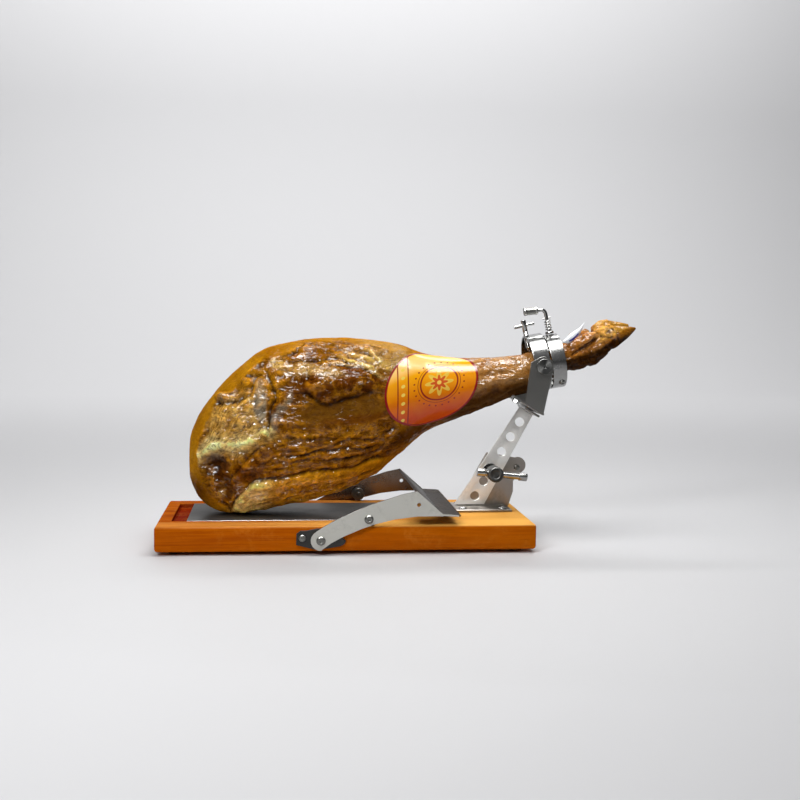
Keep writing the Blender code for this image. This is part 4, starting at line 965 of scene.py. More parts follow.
def leg_grid(rows, columns, start, end):
    """Rows at equal steps of outline length; columns at equal arc length, closer together at the front."""
    fine = start + (end - start) * np.linspace(0, 1, 3000) ** 2
    low, high, _ = leg_section(fine)
    length = np.concatenate([[0], np.cumsum(np.hypot(np.diff(fine), np.diff((high - low) / 2)))])
    x = np.interp(np.linspace(0, length[-1], rows), length, fine)
    turn = np.linspace(-math.pi, math.pi, 721)
    dense = leg_surface(x[:, None], turn[None])
    step = np.linalg.norm(np.diff(dense, axis=1), axis=2) + 1e-6
    step = step * (1.0 + 0.35 * np.cos((turn[1:] + turn[:-1]) / 2))
    gone = np.concatenate([np.zeros((rows, 1)), np.cumsum(step, axis=1)], axis=1)
    share = np.linspace(0, 1, columns, endpoint=False)
    angle = np.array([np.interp(share * row[-1], row, turn) for row in gone])
    return np.repeat(x[:, None], columns, 1), angle


def grid_normals(points):
    """Outward unit normals of a grid that closes round its columns."""
    along = np.gradient(points, axis=0)
    around = np.roll(points, -1, axis=1) - np.roll(points, 1, axis=1)
    normal = np.cross(around, along)
    size = np.linalg.norm(normal, axis=2, keepdims=True)
    normal = np.where(size > 1e-12, normal / np.maximum(size, 1e-12), [-1.0, 0.0, 0.0])
    outward = points - points.mean(axis=1, keepdims=True)
    return normal * np.where((normal * outward).sum(axis=2).mean() < 0, -1.0, 1.0)


leg_x, leg_angle = leg_grid(ROWS, COLUMNS, LEG_SECTIONS[0, 0], SKIN_END)
leg_points = leg_surface(leg_x, leg_angle)
leg_normals = grid_normals(leg_points)
steps = np.linalg.norm(np.diff(leg_points[:, COLUMNS // 2], axis=0), axis=1)
print("leg grid", leg_points.shape, "steps of", round(float(np.median(steps)) * 1000, 2), "mm along it")

# %% [markdown]
# ### Noise, paths and soft shapes
# Value noise on a seeded lattice gives lumps that are the same at every run.  `beside`
# measures how far each point lies from a path and on which side, which is all that a
# crease, a roll or a change of colour needs.


# %% Tools for relief and for painting
def soft(value, low=0.0, high=1.0):
    """Smoothstep from low to high."""
    t = np.clip((value - low) / (high - low), 0.0, 1.0)
    return t * t * (3 - 2 * t)


def lumps(points, size, seed, octaves=1):
    """Noise from -1 to 1: random numbers on a lattice, joined by smoothsteps; octaves halve the cells."""
    table = np.random.default_rng(seed).uniform(-1, 1, (32, 32, 32))
    total, weight = 0.0, 1.0
    for octave in range(octaves):
        cell = points / (np.asarray(size) / 2 ** octave) + 7.3 * octave
        base = np.floor(cell).astype(int)
        f = cell - base
        f = f * f * (3 - 2 * f)
        value = 0.0
        for corner in range(8):
            step = np.array([corner & 1, corner >> 1 & 1, corner >> 2 & 1])
            i, j, k = np.moveaxis((base + step) % 32, -1, 0)
            value = value + table[i, j, k] * np.prod(np.where(step, f, 1 - f), axis=-1)
        total, weight = total + value * weight, weight * 0.5
    return total / (2 - 2 * weight)


def fibres(points, slope, long, short, seed, wander=0.006):
    """Sharp wrinkles of the given length and width that run at a slope in the XZ plane: 1 on a crest.

    The lattice is turned and bent by slower noise, so that no line stays straight.
    """
    c, s = math.cos(slope), math.sin(slope)
    bent = points + wander * np.stack([lumps(points, 0.032, seed + 100 + k, 2) for k in range(3)], -1)
    lattice = np.stack([bent[..., 0] * c + bent[..., 2] * s, bent[..., 1],
                        bent[..., 2] * c - bent[..., 0] * s], -1)
    return 1.0 - 2.0 * np.abs(lumps(lattice, (long, short * 2, short), seed, 2))


def crumple(points, size, seed, octaves=3):
    """Crumpled skin: sum of 1 - 2|noise| at halving sizes, about -0.5 to 1, sharp on its crests."""
    total, weight = 0.0, 1.0
    for octave in range(octaves):
        cell = np.array([1.5, 1.0, 1.0]) * size / 2 ** octave
        total = total + weight * (1 - 2 * np.abs(lumps(points, cell, seed + octave)))
        weight *= 0.55
    return total / 1.85


def smooth_path(points, steps=6):
    """A Catmull-Rom curve through given points."""
    p = np.array(points)
    p = np.vstack([2 * p[0] - p[1], p, 2 * p[-1] - p[-2]])
    a, b, c, d = p[:-3, None], p[1:-2, None], p[2:-1, None], p[3:, None]
    t = np.linspace(0, 1, steps, endpoint=False)[:, None]
    curve = 0.5 * (2 * b + (c - a) * t + (2 * a - 5 * b + 4 * c - d) * t ** 2
                   + (3 * b - a - 3 * c + d) * t ** 3)
    return np.vstack([curve.reshape(-1, 2), p[-2:-1]])


def beside(place, path):
    """Signed distance to a path (positive to its left) and the share of the path passed, for every point."""
    x, z = place
    curve = smooth_path(path)
    best, side, share = np.full(x.shape, 9.0), np.ones(x.shape), np.zeros(x.shape)
    for number, (start, run) in enumerate(zip(curve[:-1], np.diff(curve, axis=0))):
        dx, dz = x - start[0], z - start[1]
        t = np.clip((dx * run[0] + dz * run[1]) / (run @ run), 0, 1)
        away = np.hypot(dx - t * run[0], dz - t * run[1])
        near = away < best
        best[near] = away[near]
        side[near] = np.sign(run[0] * dz - run[1] * dx)[near]
        share[near] = (number + t[near]) / (len(curve) - 1)
    return best * side, share


def along(share, times, seed):
    """Noise from -1 to 1 that changes only along a path: share is stretched to so many cells."""
    return lumps(np.stack([share * times, share * 0, share * 0], -1), 1.0, seed)


def faded(share, fade):
    """1 along a path, falling softly to 0 at its two ends."""
    return soft(share, 0, fade) * soft(1 - share, 0, fade)


def groove(place, path, deep, width, lips=0.3, fade=0.12, broken=0.0, seed=1):
    """A crease: -deep * exp(-|d/w|^1.4) with raised lips; broken makes it come and go along its length."""
    d, share = beside(place, path)
    ends = faded(share, fade) * (1 - broken * soft(along(share, 11, seed), -0.3, 0.5))
    lip = np.exp(-((np.abs(d) - 2.2 * width) / (1.2 * width)) ** 2)
    return deep * ends * (lips * lip - np.exp(-np.abs(d / width) ** 1.4))


def overlap(place, path, high, reach, deep, width, side=1, fade=0.14, broken=0.4, seed=1):
    """One fold lying over another: a crease, and a cushion on one side of it.

    Cushion = high * (1 - exp(-d/w)) * exp(-(d/reach)^1.5); crease = -deep * exp(-|d/w|^1.4).
    """
    d, share = beside(place, path)
    d = d * side
    over = np.maximum(d, 0)
    deep = deep * (1 - broken * soft(along(share, 9, seed), -0.4, 0.5))
    cushion = high * (1 - np.exp(-over / width)) * np.exp(-(over / reach) ** 1.5)
    return faded(share, fade) * (cushion - deep * np.exp(-np.abs(d / width) ** 1.4))


def roll(place, path, high, width, fade=0.10, lumpy=0.0, seed=1):
    """A rounded ridge along a path, optionally swelling and thinning along its length."""
    d, share = beside(place, path)
    swell = 1 + lumpy * along(share, 9, seed)
    return high * swell * faded(share, fade) * np.exp(-(d / width) ** 2 * 1.1)


def from_middle(place, middle, radii, turn=0.0):
    """Distance from the middle of a turned oval in its radii: 0 in the middle, 1 on the rim."""
    x, z = place[0] - middle[0], place[1] - middle[1]
    c, s = math.cos(math.radians(turn)), math.sin(math.radians(turn))
    return np.hypot((x * c + z * s) / radii[0], (z * c - x * s) / radii[1])


def oval(place, middle, radii, turn=0.0, edge=1.0):
    """1 inside a turned oval, falling softly to 0; edge is the width of the fall in radii."""
    return soft(1 + edge / 2 - from_middle(place, middle, radii, turn), 0, edge)


def dome(place, middle, radii, high, turn=0.0):
    """A low cushion: high * (1 - q^2)^2 inside a turned oval, q = distance in radii."""
    return high * np.clip(1 - from_middle(place, middle, radii, turn) ** 2, 0, 1) ** 2


print("relief tools ready")

# %% [markdown]
# ### Landmarks on the trimmed side
# All are (x, z) from the middle of the board, on the trimmed face, given in millimetres.
# `RIM` is where the rind ends; the left of its run is the cut meat.
# Then come the low cushions of muscle and the hollows between them, each an oval.

# %% Landmarks
def path(*numbers):
    """Points (x, z) in metres from millimetres given one after the other."""
    return np.array(numbers, float).reshape(-1, 2) / 1000


RIM = path(-72, 279, -96, 269, -111, 265, -126, 256, -142, 237, -158, 220, -174, 208, -183, 195, -191, 178,
           -200, 163, -206, 148, -207, 135, -206, 118, -204, 104, -200, 87, -194, 75, -182, 61, -168, 50)
FOLD = path(-178, 203, -172, 207, -160, 212, -148, 218, -139, 232, -134, 244, -122, 250)
SEAM = path(-114, 254, -109, 241, -104, 227, -103, 211, -106, 197, -108, 184, -111, 170, -117, 160)
CREAM_RIDGE = path(-207, 124, -201, 130, -187, 137, -169, 143, -150, 143, -131, 149, -117, 159, -108, 164)
MUSCLE_EDGE = path(-172, 82, -160, 96, -150, 109, -136, 124, -121, 139, -105, 144)
LOW_CREASE = path(-160, 50, -155, 61, -145, 74, -132, 86, -108, 95, -84, 101, -50, 108, -17, 112, 17, 117,
                  40, 121, 66, 124)
LOW_ROLL = path(-150, 50, -138, 62, -110, 79, -80, 88, -40, 95, 0, 100, 40, 109)
UPPER_CREASE = path(-70, 218, -63, 214, -47, 208, -27, 204.5, -10, 205, 5, 207, 19, 210, 34, 213.5,
                    54, 215)
TOP_RIDGE = path(-93, 260, -91, 269, -77, 278, -67, 282, -46, 284, -25, 281.5, -7, 275.5, 13, 265, 34, 259,
                 52, 256)
TOP_CREASE = path(-86, 255, -78, 258, -68, 260, -47, 260, -26, 264, -7, 268)
SLANTS = (path(-7, 278, 16, 266, 55, 254),
          path(20, 277, 43, 262, 62, 255),
          path(-21, 259, 16, 254, 46, 241),
          path(-12, 270, 10, 260, 40, 248))
LONG_WRINKLES = (path(-110, 123, -90, 129, -67, 131, -34, 138, 16, 140, 50, 149),
                 path(-112, 111, -90, 113, -67, 122, -34, 125, 17, 131, 60, 140),
                 path(-20, 144, 10, 152, 40, 157, 70, 169))
HOLLOW_OF_SHANK = path(178, 236, 200, 235, 225, 240, 245, 244)
DOMES = (                             # x, z, radius along, radius across, height, turn in degrees
    (-12, 233, 74, 30, 9.2, 3), (-50, 240, 34, 15, 2.6, -5), (-68, 181, 32, 24, 4.8, 0),
    (-99, 180, 8.5, 13, 4.2, 0), (-122, 200, 8.5, 24, 1.8, -8), (-160, 178, 40, 26, 3.6, 40),
    (-186, 140, 20, 12, 3.4, 10), (-184, 113, 22, 17, -9.0, 10), (-168, 86, 15, 24, -5.0, 30),
    (-130, 115, 26, 18, 4.2, 45), (-124, 153, 10, 7, -3.5, 0), (-20, 172, 90, 18, 3.0, 4))
PEARLS, PEARL_STEP, PEARL_SIZE, PEARL_HEIGHT = 8, 0.0058, (0.0050, 0.0034), 0.0018
LABEL_MIDDLE, LABEL_REACH = (0.1195, 0.2210), 0.0685
print("landmarks:", len(DOMES), "domes,", len(RIM), "points along the rim of the rind")

# %% [markdown]
# ### Relief
# The order follows the size of the forms: rind against meat, then folds and muscles,
# then wrinkles.  Everything is a height in metres along the normal.


# %% Relief of the skin
def skin_relief(points, angle):
    """Height of the skin over the ground form, and the masks that the painting shares with it."""
    facing = soft(np.cos(angle), -0.05, 0.30)
    x, z = place = tuple(
        points[..., k] + (0.0055 * lumps(points, 0.030, seed) + 0.0020 * lumps(points, 0.009, seed + 1, 2))
        for k, seed in ((0, 11), (2, 13)))
    from_rim, _ = beside(place, RIM)
    from_low, _ = beside(place, LOW_CREASE)
    top_edge = np.interp(x, (-0.10, -0.05, 0.0, 0.05, 0.09), (0.278, 0.2875, 0.2880, 0.2830, 0.2740))
    meat = soft(from_rim, -0.0012, 0.0016) * soft(from_low, -0.001, 0.002) * soft(top_edge - z, -0.001, 0.003)
    meat = meat * soft(0.100 - x, 0.0, 0.04) * facing
    rim_step = 0.0012 * (1 - soft(from_rim, -0.0020, 0.0030)) * soft(-from_rim, -0.02, 0.0)
    rim_dip = -0.0026 * np.exp(-((from_rim - 0.0045) / 0.0045) ** 2) * (0.6 + 0.8 * lumps(points, 0.018, 15))

    height = (rim_step + rim_dip) * soft(0.02 - x, 0.0, 0.04) * soft(0.288 - z, 0.0, 0.01)
    height += roll(place, FOLD, 0.0058, 0.0062, 0.12, 0.9, 21)
    height += groove(place, FOLD + (0.009, -0.007), 0.0030, 0.0035, 0.0)
    height += overlap(place, SEAM, 0.0052, 0.020, 0.0030, 0.0036)
    height += roll(place, CREAM_RIDGE, 0.0046, 0.0070, 0.10, 0.5, 22)
    height += overlap(place, MUSCLE_EDGE, 0.0030, 0.018, 0.0012, 0.0026, -1, 0.2, 0.8, 4)
    height += overlap(place, LOW_CREASE, 0.0044, 0.020, 0.0034, 0.0026, -1, 0.08, 0.8, 3)
    height += roll(place, LOW_ROLL, 0.0020, 0.0085, 0.08, 0.8, 23)
    height += overlap(place, UPPER_CREASE, 0.0072, 0.030, 0.0026, 0.0050, 1, 0.2, 0.6, 5)
    height += overlap(place, TOP_RIDGE, 0.0030, 0.012, 0.0006, 0.0022, -1, 0.10)
    height += groove(place, TOP_CREASE, 0.0030, 0.0032, 0.2, 0.12, 0.4, 24)
    for number, run in enumerate(SLANTS):
        height += roll(place, run, 0.0018, 0.0022, 0.2, 0.5, 25 + number)
        height += groove(place, run + (0.001, -0.0046), 0.0018, 0.0018, 0.0)
    for number, run in enumerate(LONG_WRINKLES):
        height += groove(place, run, 0.0028, 0.0018, 0.3, 0.15, 0.7, 41 + number)
    for row in DOMES:
        middle_x, middle_z, wide, tall, high = np.array(row[:5]) / 1000
        height += dome(place, (middle_x, middle_z), (wide, tall), high, row[5])
    for k in range(PEARLS):
        middle = (-0.081 + PEARL_STEP * k, 0.1625 - 0.0022 * (k % 3))
        height += dome(place, middle, PEARL_SIZE, PEARL_HEIGHT)

    plateau = oval(place, (-0.158, 0.174), (0.048, 0.034), 45, 0.5)
    wrinkled = oval(place, (-0.020, 0.130), (0.110, 0.030), 8, 0.7)
    smooth_band = oval(place, (0.005, 0.190), (0.075, 0.018), 4, 0.6)
    long_folds = fibres(points, 0.22, 0.060, 0.0062, 31, 0.009)
    slanted = fibres(points, 0.95, 0.026, 0.0050, 32, 0.008)
    lump, grain = lumps(points, 0.034, 34, 2), lumps(points, 0.0065, 35, 2)
    crumpled = crumple(points, 0.017, 200)
    rough = meat * (1 - 0.75 * smooth_band)
    height = height * facing
    height += rough * (0.0012 * lump + 0.0031 * (crumpled - 0.35) + 0.0007 * grain
                       + 0.0021 * (long_folds - 0.4) * wrinkled + 0.0013 * (slanted - 0.4) * plateau)
    rind = 1 - meat
    soft_folds, under_folds = fibres(points, 0.45, 0.085, 0.016, 36), fibres(points, 0.30, 0.030, 0.0060, 38)
    height += rind * (0.0010 * lumps(points, 0.05, 37, 2) + 0.0004 * (soft_folds - 0.4) + 0.0002 * grain
                      + 0.0005 * (crumpled - 0.35))
    under = rind * facing * soft(0.115 - z, 0, 0.02) * soft(x + 0.17, 0.0, 0.02)
    height += under * (0.0014 * (under_folds - 0.3) + 0.0026 * (crumpled - 0.35))
    shank = soft(x, 0.10, 0.16)
    tendons = fibres(points, 0.42, 0.070, 0.012, 39)
    height = height * (1 - 0.3 * shank) + shank * (0.0010 * (tendons - 0.35) + 0.0009 * (crumpled - 0.35))
    height += groove(place, HOLLOW_OF_SHANK, 0.0020, 0.0040, 0.5) * facing
    return height, dict(facing=facing, meat=meat, plateau=plateau * meat, smooth_band=smooth_band * meat,
                        shank=shank, under=under, slanted=slanted, wrinkled=wrinkled * meat,
                        crumpled=crumpled, tendons=tendons, place=place)


relief, masks = skin_relief(leg_points, leg_angle)
label_away = from_middle((leg_points[..., 0], leg_points[..., 2]), (LABEL_MIDDLE[0], LABEL_MIDDLE[1] + 0.008),
                         (LABEL_REACH + 0.006, 0.062))
under_label = soft(1.12 - label_away, 0, 0.14) * masks["facing"]
relief = relief * (1 - under_label) - 0.0002 * under_label
relief = relief * soft(leg_x, LEG_SECTIONS[0, 0], LEG_SECTIONS[0, 0] + 0.004)
skin = leg_points + leg_normals * relief[..., None]
TRAY_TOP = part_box("tray_plate")[1].z
skin[..., 2] = np.maximum(skin[..., 2], TRAY_TOP + 0.0004)
print("relief from", round(float(relief.min()) * 1000, 1), "to", round(float(relief.max()) * 1000, 1), "mm")

# %% [markdown]
# ### Painting the skin
# Colour is stored on the points of the mesh.  A base of amber rind and brown meat is
# painted over, region by region, through soft irregular masks, with painted shade on
# the undersides.  Last, hollows are darkened with painted shade and crests lightened
# with a painted highlight.


# %% Colour and wetness
def blurred(field, times):
    """Average with the four neighbours, again and again; the grid closes round its columns."""
    for _ in range(times):
        up, down = np.vstack([field[:1], field[:-1]]), np.vstack([field[1:], field[-1:]])
        field = (field * 2 + up + down + np.roll(field, 1, 1) + np.roll(field, -1, 1)) / 6
    return field


PALETTE = dict(
    amber=(0.430, 0.180, 0.004), amber_dark=(0.290, 0.098, 0.002), amber_light=(0.540, 0.260, 0.012),
    meat=(0.255, 0.088, 0.002), meat_dark=(0.078, 0.020, 0.001), ochre=(0.520, 0.225, 0.008),
    olive_cream=(0.540, 0.280, 0.045), cream=(0.900, 0.680, 0.250), pale_fat=(0.800, 0.510, 0.135),
    blood=(0.040, 0.010, 0.001), rust=(0.190, 0.060, 0.008), lilac=(0.200, 0.160, 0.110),
    leaf=(0.300, 0.262, 0.180), umber=(0.030, 0.008, 0.0006),
    chestnut=(0.135, 0.034, 0.001), olive=(0.240, 0.084, 0.001), dull=(0.165, 0.066, 0.006),
    shank=(0.340, 0.135, 0.024), shank_light=(0.560, 0.300, 0.100), shank_dark=(0.022, 0.006, 0.0005))


class Paint:
    """Linear colour and wetness (0 dry, 1 wet) of an array of points, painted over in layers."""

    def __init__(self, shape, tint, wetness):
        self.colour = np.broadcast_to(np.array(tint), (*shape, 3)).copy()
        self.wet = np.full(shape, wetness)

    def over(self, mask, tint, wetness=None):
        """One layer: value + (new - value) * mask; tint is a name in the palette or three numbers."""
        mask = np.clip(mask, 0, 1)
        self.colour = self.colour + (np.array(PALETTE.get(tint, tint)) - self.colour) * mask[..., None]
        if wetness is not None:
            self.wet = self.wet + (wetness - self.wet) * mask


def skin_paint(points, relief, masks):
    """Colour, wetness and depth of the finest wrinkles for every point of the leg."""
    place, meat, facing = masks["place"], masks["meat"], masks["facing"]
    blotch, speck = lumps(points, 0.026, 51, 3), lumps(points, 0.006, 52, 2)
    ragged = (place[0] + 0.003 * speck, place[1] + 0.003 * lumps(points, 0.008, 53, 2))
    x, z = ragged
    layers = Paint(x.shape, PALETTE["amber"], 0.16)
    paint = layers.over

    def spot(middle, radii, turn, edge, strength, tint, wetness=None):
        """One oval patch on the meat; middle and radii in millimetres, turn in degrees."""
        paint(meat * oval(ragged, np.array(middle) / 1000, np.array(radii) / 1000, turn, edge) * strength,
              tint, wetness)

    paint(soft(blotch, -0.1, 0.7) * 0.7, "amber_dark")
    paint(soft(-blotch, 0.1, 0.7) * 0.5, "amber_light")
    # painted shade: darker towards the bottom of the leg, a little less on the front
    paint(soft(0.12 - z, 0, 0.05) * (1 - facing * 0.3) * 0.6, "amber_dark")
    paint(meat, "meat", 0.46)
    paint(meat * soft(blotch, -0.1, 0.5) * 0.8, "meat_dark")
    paint(meat * soft(-blotch, 0.0, 0.6) * 0.6, "ochre")
    spot((-125, 222), (30, 26), 30, 0.8, 0.7, "ochre", 0.35)
    paint(masks["plateau"] * 0.8, "olive_cream", 1.0)
    paint(masks["plateau"] * soft(masks["slanted"], 0.3, 0.9) * 0.4, "pale_fat")
    paint(masks["plateau"] * soft(speck, 0.25, 0.8) * 0.5, "meat")
    paint(np.exp(-(beside(ragged, CREAM_RIDGE)[0] / 0.0090) ** 2) * meat * 1.1, "cream", 0.5)
    spot((-190, 145), (14, 10), 20, 0.9, 0.7, "cream", 0.5)
    spot((-184, 112), (21, 18), 10, 0.6, 0.95, "blood", 0.8)
    spot((-186, 124.5), (14, 5), 8, 0.9, 0.5, "lilac", 0.5)
    spot((-172, 112), (8, 8), 0, 0.9, 0.7, "rust", 0.5)
    spot((-192, 102), (7, 10), 20, 0.9, 0.6, "rust", 0.5)
    spot((-186, 95), (10, 6), 40, 0.9, 0.5, "rust", 0.6)
    spot((-166, 86), (18, 26), 30, 0.7, 0.8, "meat_dark", 0.75)
    spot((-176, 76), (8, 6), 30, 0.9, 0.7, "olive_cream", 0.9)
    spot((-130, 114), (27, 19), 45, 0.6, 0.85, "chestnut", 0.45)
    spot((-122, 200), (8.5, 23.5), -6, 0.6, 0.85, "leaf", 0.9)
    spot((-118, 223), (6, 10), 10, 0.9, 0.5, "leaf", 0.7)
    spot((-99, 179), (8, 12), 0, 0.6, 0.95, "lilac", 0.6)
    spot((-90, 197), (7.5, 11), -30, 0.8, 0.7, "leaf", 0.6)
    spot((-84, 212), (6, 11), -20, 0.9, 0.5, "leaf", 0.6)
    spot((-120, 151), (11, 8), 30, 0.8, 0.8, "olive_cream", 0.4)
    spot((-67, 182), (29, 21), 0, 0.6, 0.85, "olive", 0.4)
    spot((-60, 160), (26, 5.5), 4, 0.9, 0.7, "ochre", 0.95)
    paint(masks["smooth_band"] * 0.8, "dull", 0.15)
    spot((30, 180), (60, 7), 5, 0.9, 0.7, "chestnut", 0.45)
    spot((-12, 229), (66, 25), 3, 0.5, 0.85, "chestnut", 0.42)
    # painted shade along the lower side of the big upper bulge, above its crease
    spot((-8, 215), (58, 10), 4, 0.9, 0.80, "meat_dark", 0.35)
    spot((-50, 245), (40, 10), -8, 0.8, 0.5, "pale_fat", 0.95)
    spot((-98, 258), (9, 6), -25, 0.8, 0.8, "pale_fat", 0.4)
    spot((-83, 264), (10, 6.5), 0, 0.8, 0.75, "amber_dark", 0.6)
    # painted highlight along the top ridge
    paint(np.exp(-(beside(ragged, TOP_RIDGE)[0] / 0.0075) ** 2) * facing * 0.4, "amber_light", 0.25)
    for run in SLANTS:
        paint(np.exp(-(beside(place, run)[0] / 0.0024) ** 2) * facing * 0.7, "pale_fat", 0.85)
    right = soft(x, -0.01, 0.05) * soft(0.10 - x, 0, 0.03) * soft(z, 0.245, 0.262) * facing
    paint(right * 0.55, "pale_fat", 0.35)
    paint(soft(masks["crumpled"], 0.35, 0.8) * meat * (1 - masks["smooth_band"]) * 0.35, "ochre", 1.0)
    paint(masks["wrinkled"] * 0.45, "meat", 0.75)
    paint(masks["under"] * 0.6, "ochre", 0.75)
    paint(masks["under"] * soft(blotch, 0.0, 0.6) * 0.7, "amber_dark", 0.75)
    paint(masks["under"] * soft(-0.09 - x, 0, 0.04) * 0.85, "pale_fat", 0.95)
    paint(masks["under"] * soft(x, 0.01, 0.08) * 0.65, "chestnut", 0.4)
    paint(soft(z, 0.258, 0.275) * soft(0.10 - x, 0, 0.04) * facing * 0.45, "amber_dark")
    shank = masks["shank"]
    paint(shank * 0.9, "shank", 0.90)
    paint(shank * soft(masks["tendons"], 0.2, 0.8) * 0.5, "shank_light")
    paint(shank * soft(speck, 0.1, 0.8) * 0.4, "shank_dark")
    # painted shade under the shank
    paint(shank * soft(0.228 + (x - 0.20) * 0.3 - z, 0, 0.02) * 0.85, "shank_dark", 0.05)
    below_label = oval(place, (0.100, 0.1640), (0.050, 0.012), 28, 0.9) * facing
    paint(below_label * 0.9, "meat_dark", 0.4)
    # painted shade at the low left end of the butt
    paint(soft(-0.180 - x, 0, 0.025) * soft(0.115 - z, 0, 0.04) * 0.65, "umber", 0.3)

    # painted shade in the hollows and fine creases, painted highlight on the crests
    hollow = relief - blurred(relief, 22)
    fine = relief - blurred(relief, 5)
    paint(soft(-hollow, 0.0003, 0.0030) * 0.75, "umber")
    paint(soft(-fine, 0.0001, 0.0009) * 0.58, "umber")
    gain = 1 + 0.40 * soft(hollow, 0.0, 0.0020) + 0.35 * soft(fine, 0.0, 0.0006)
    colour = np.clip(layers.colour * gain[..., None], 0, 0.9)
    wrinkles = 0.30 + 0.70 * meat * (1 - 0.6 * masks["smooth_band"]) + 0.45 * masks["under"] + 0.25 * shank
    return colour, np.clip(layers.wet, 0, 1), np.clip(wrinkles, 0, 1.1)


skin_colour, skin_wet, skin_wrinkles = skin_paint(leg_points, relief, masks)
print("mean colour", [round(float(v), 3) for v in skin_colour.mean(axis=(0, 1))])


# %% Skin material
def make_ham_skin():
    """Painted colour broken up by speckles, finest wrinkles as bump, oil as a patchy coat with waves."""
    material, tree, shader, place = new_material("oily_cured_skin")
    paint = put(tree, "Attribute", attribute_name="skin_colour").outputs["Color"]
    wet = put(tree, "Attribute", attribute_name="skin_wet").outputs["Fac"]
    wrinkles = put(tree, "Attribute", attribute_name="skin_wrinkles").outputs["Fac"]
    grain = place_group(tree, cured_skin, {"Vector": place, "Grain": wrinkles})
    dark = mixed(tree, 1.0, paint, (0.38, 0.30, 0.22, 1), "MULTIPLY")
    colour = mixed(tree, times(tree, grain.outputs["Speckle"], 0.45), paint, dark)
    light = mixed(tree, 1.0, paint, (1.45, 1.50, 1.7, 1), "MULTIPLY")
    colour = mixed(tree, times(tree, grain.outputs["Blotch"], 0.30), colour, light)
    shadow = mixed(tree, 1.0, paint, (0.16, 0.09, 0.05, 1), "MULTIPLY")
    colour = mixed(tree, times(tree, grain.outputs["Crease"], 0.64), colour, shadow)
    rough = put(tree, "MapRange", {"Value": wet, "To Min": 0.60, "To Max": 0.26})
    rough = sums(tree, "ADD", rough.outputs["Result"], times(tree, grain.outputs["Speckle"], 0.12))
    oily = times(tree, sums(tree, "SUBTRACT", wet, 0.10, clamp=True), 1.35, clamp=True)
    oil = noise(tree, stretched(tree, place, (0.40, 1.0, 1.0)), 92.0, 2.0, 0.45, 0.8)
    waves = sums(tree, "ABSOLUTE", sums(tree, "SUBTRACT", oil, 0.5))
    feed(tree, shader, {
        "Base Color": colour, "Roughness": rough, "Specular IOR Level": 0.0,
        "Normal": bumped(tree, grain.outputs["Height"], 0.0030, 1.0),
        "Coat Weight": times(tree, oily, grain.outputs["Film"]), "Coat Roughness": 0.06,
        "Coat IOR": 1.5, "Coat Normal": bumped(tree, waves, 0.0068, 1.0),
        "Subsurface Weight": 0.04, "Subsurface Radius": (1.0, 0.35, 0.12), "Subsurface Scale": 0.004})
    return material


def store_paint(mesh, colour, wet, wrinkles):
    """Write colour, wetness and depth of the fine wrinkles on the points of a mesh."""
    flat = np.ones((len(mesh.vertices), 4), np.float32)
    flat[:, :3] = colour.reshape(-1, 3)
    mesh.attributes.new("skin_colour", "FLOAT_COLOR", "POINT").data.foreach_set("color", flat.ravel())
    for name, values in (("skin_wet", wet), ("skin_wrinkles", wrinkles)):
        values = values.ravel().astype(np.float32)
        mesh.attributes.new(name, "FLOAT", "POINT").data.foreach_set("value", values)


def closed_skin(name, points):
    """A mesh over a grid that closes round its columns, with a fan of faces over each end."""
    rows, columns = points.shape[:2]
    ends = np.stack([points[0].mean(0), points[-1].mean(0)])
    quads = grid_faces(rows, columns, wrap=True)
    j = np.arange(columns)
    k = (j + 1) % columns
    first, last = rows * columns, rows * columns + 1
    base = (rows - 1) * columns
    caps = np.concatenate([np.stack([j, 0 * j + first, 0 * j + first, k], -1),
                           np.stack([base + k, 0 * j + last, 0 * j + last, base + j], -1)])
    return make_mesh(name, np.vstack([points.reshape(-1, 3), ends]), np.vstack([quads, caps]))


ham_skin = make_ham_skin()
mesh = closed_skin("ham_leg", skin + (SHIFT, 0, 0))


def with_ends(values):
    """Values of a grid as one list, with the means of its two end rings for the points that close them."""
    flat = values.reshape(-1, *values.shape[2:])
    return np.concatenate([flat, np.stack([values[0].mean(0), values[-1].mean(0)])])


store_paint(mesh, with_ends(skin_colour), with_ends(skin_wet), with_ends(skin_wrinkles))
build = bmesh.new()
build.from_mesh(mesh)
bmesh.ops.recalc_face_normals(build, faces=build.faces)
build.to_mesh(mesh)
build.free()
mesh.shade_smooth()
new_piece("ham_leg", mesh, ham_skin, "ham")
print("ham skin:", len(mesh.polygons), "faces")
# %% [markdown]
# ## The trotter
# Past the right hoop the leg ends in a foot: the pastern, two claws and two dewclaws.
# Each is a lofted lobe; a voxel remesh fuses them, and relief and paint follow as on the
# leg.

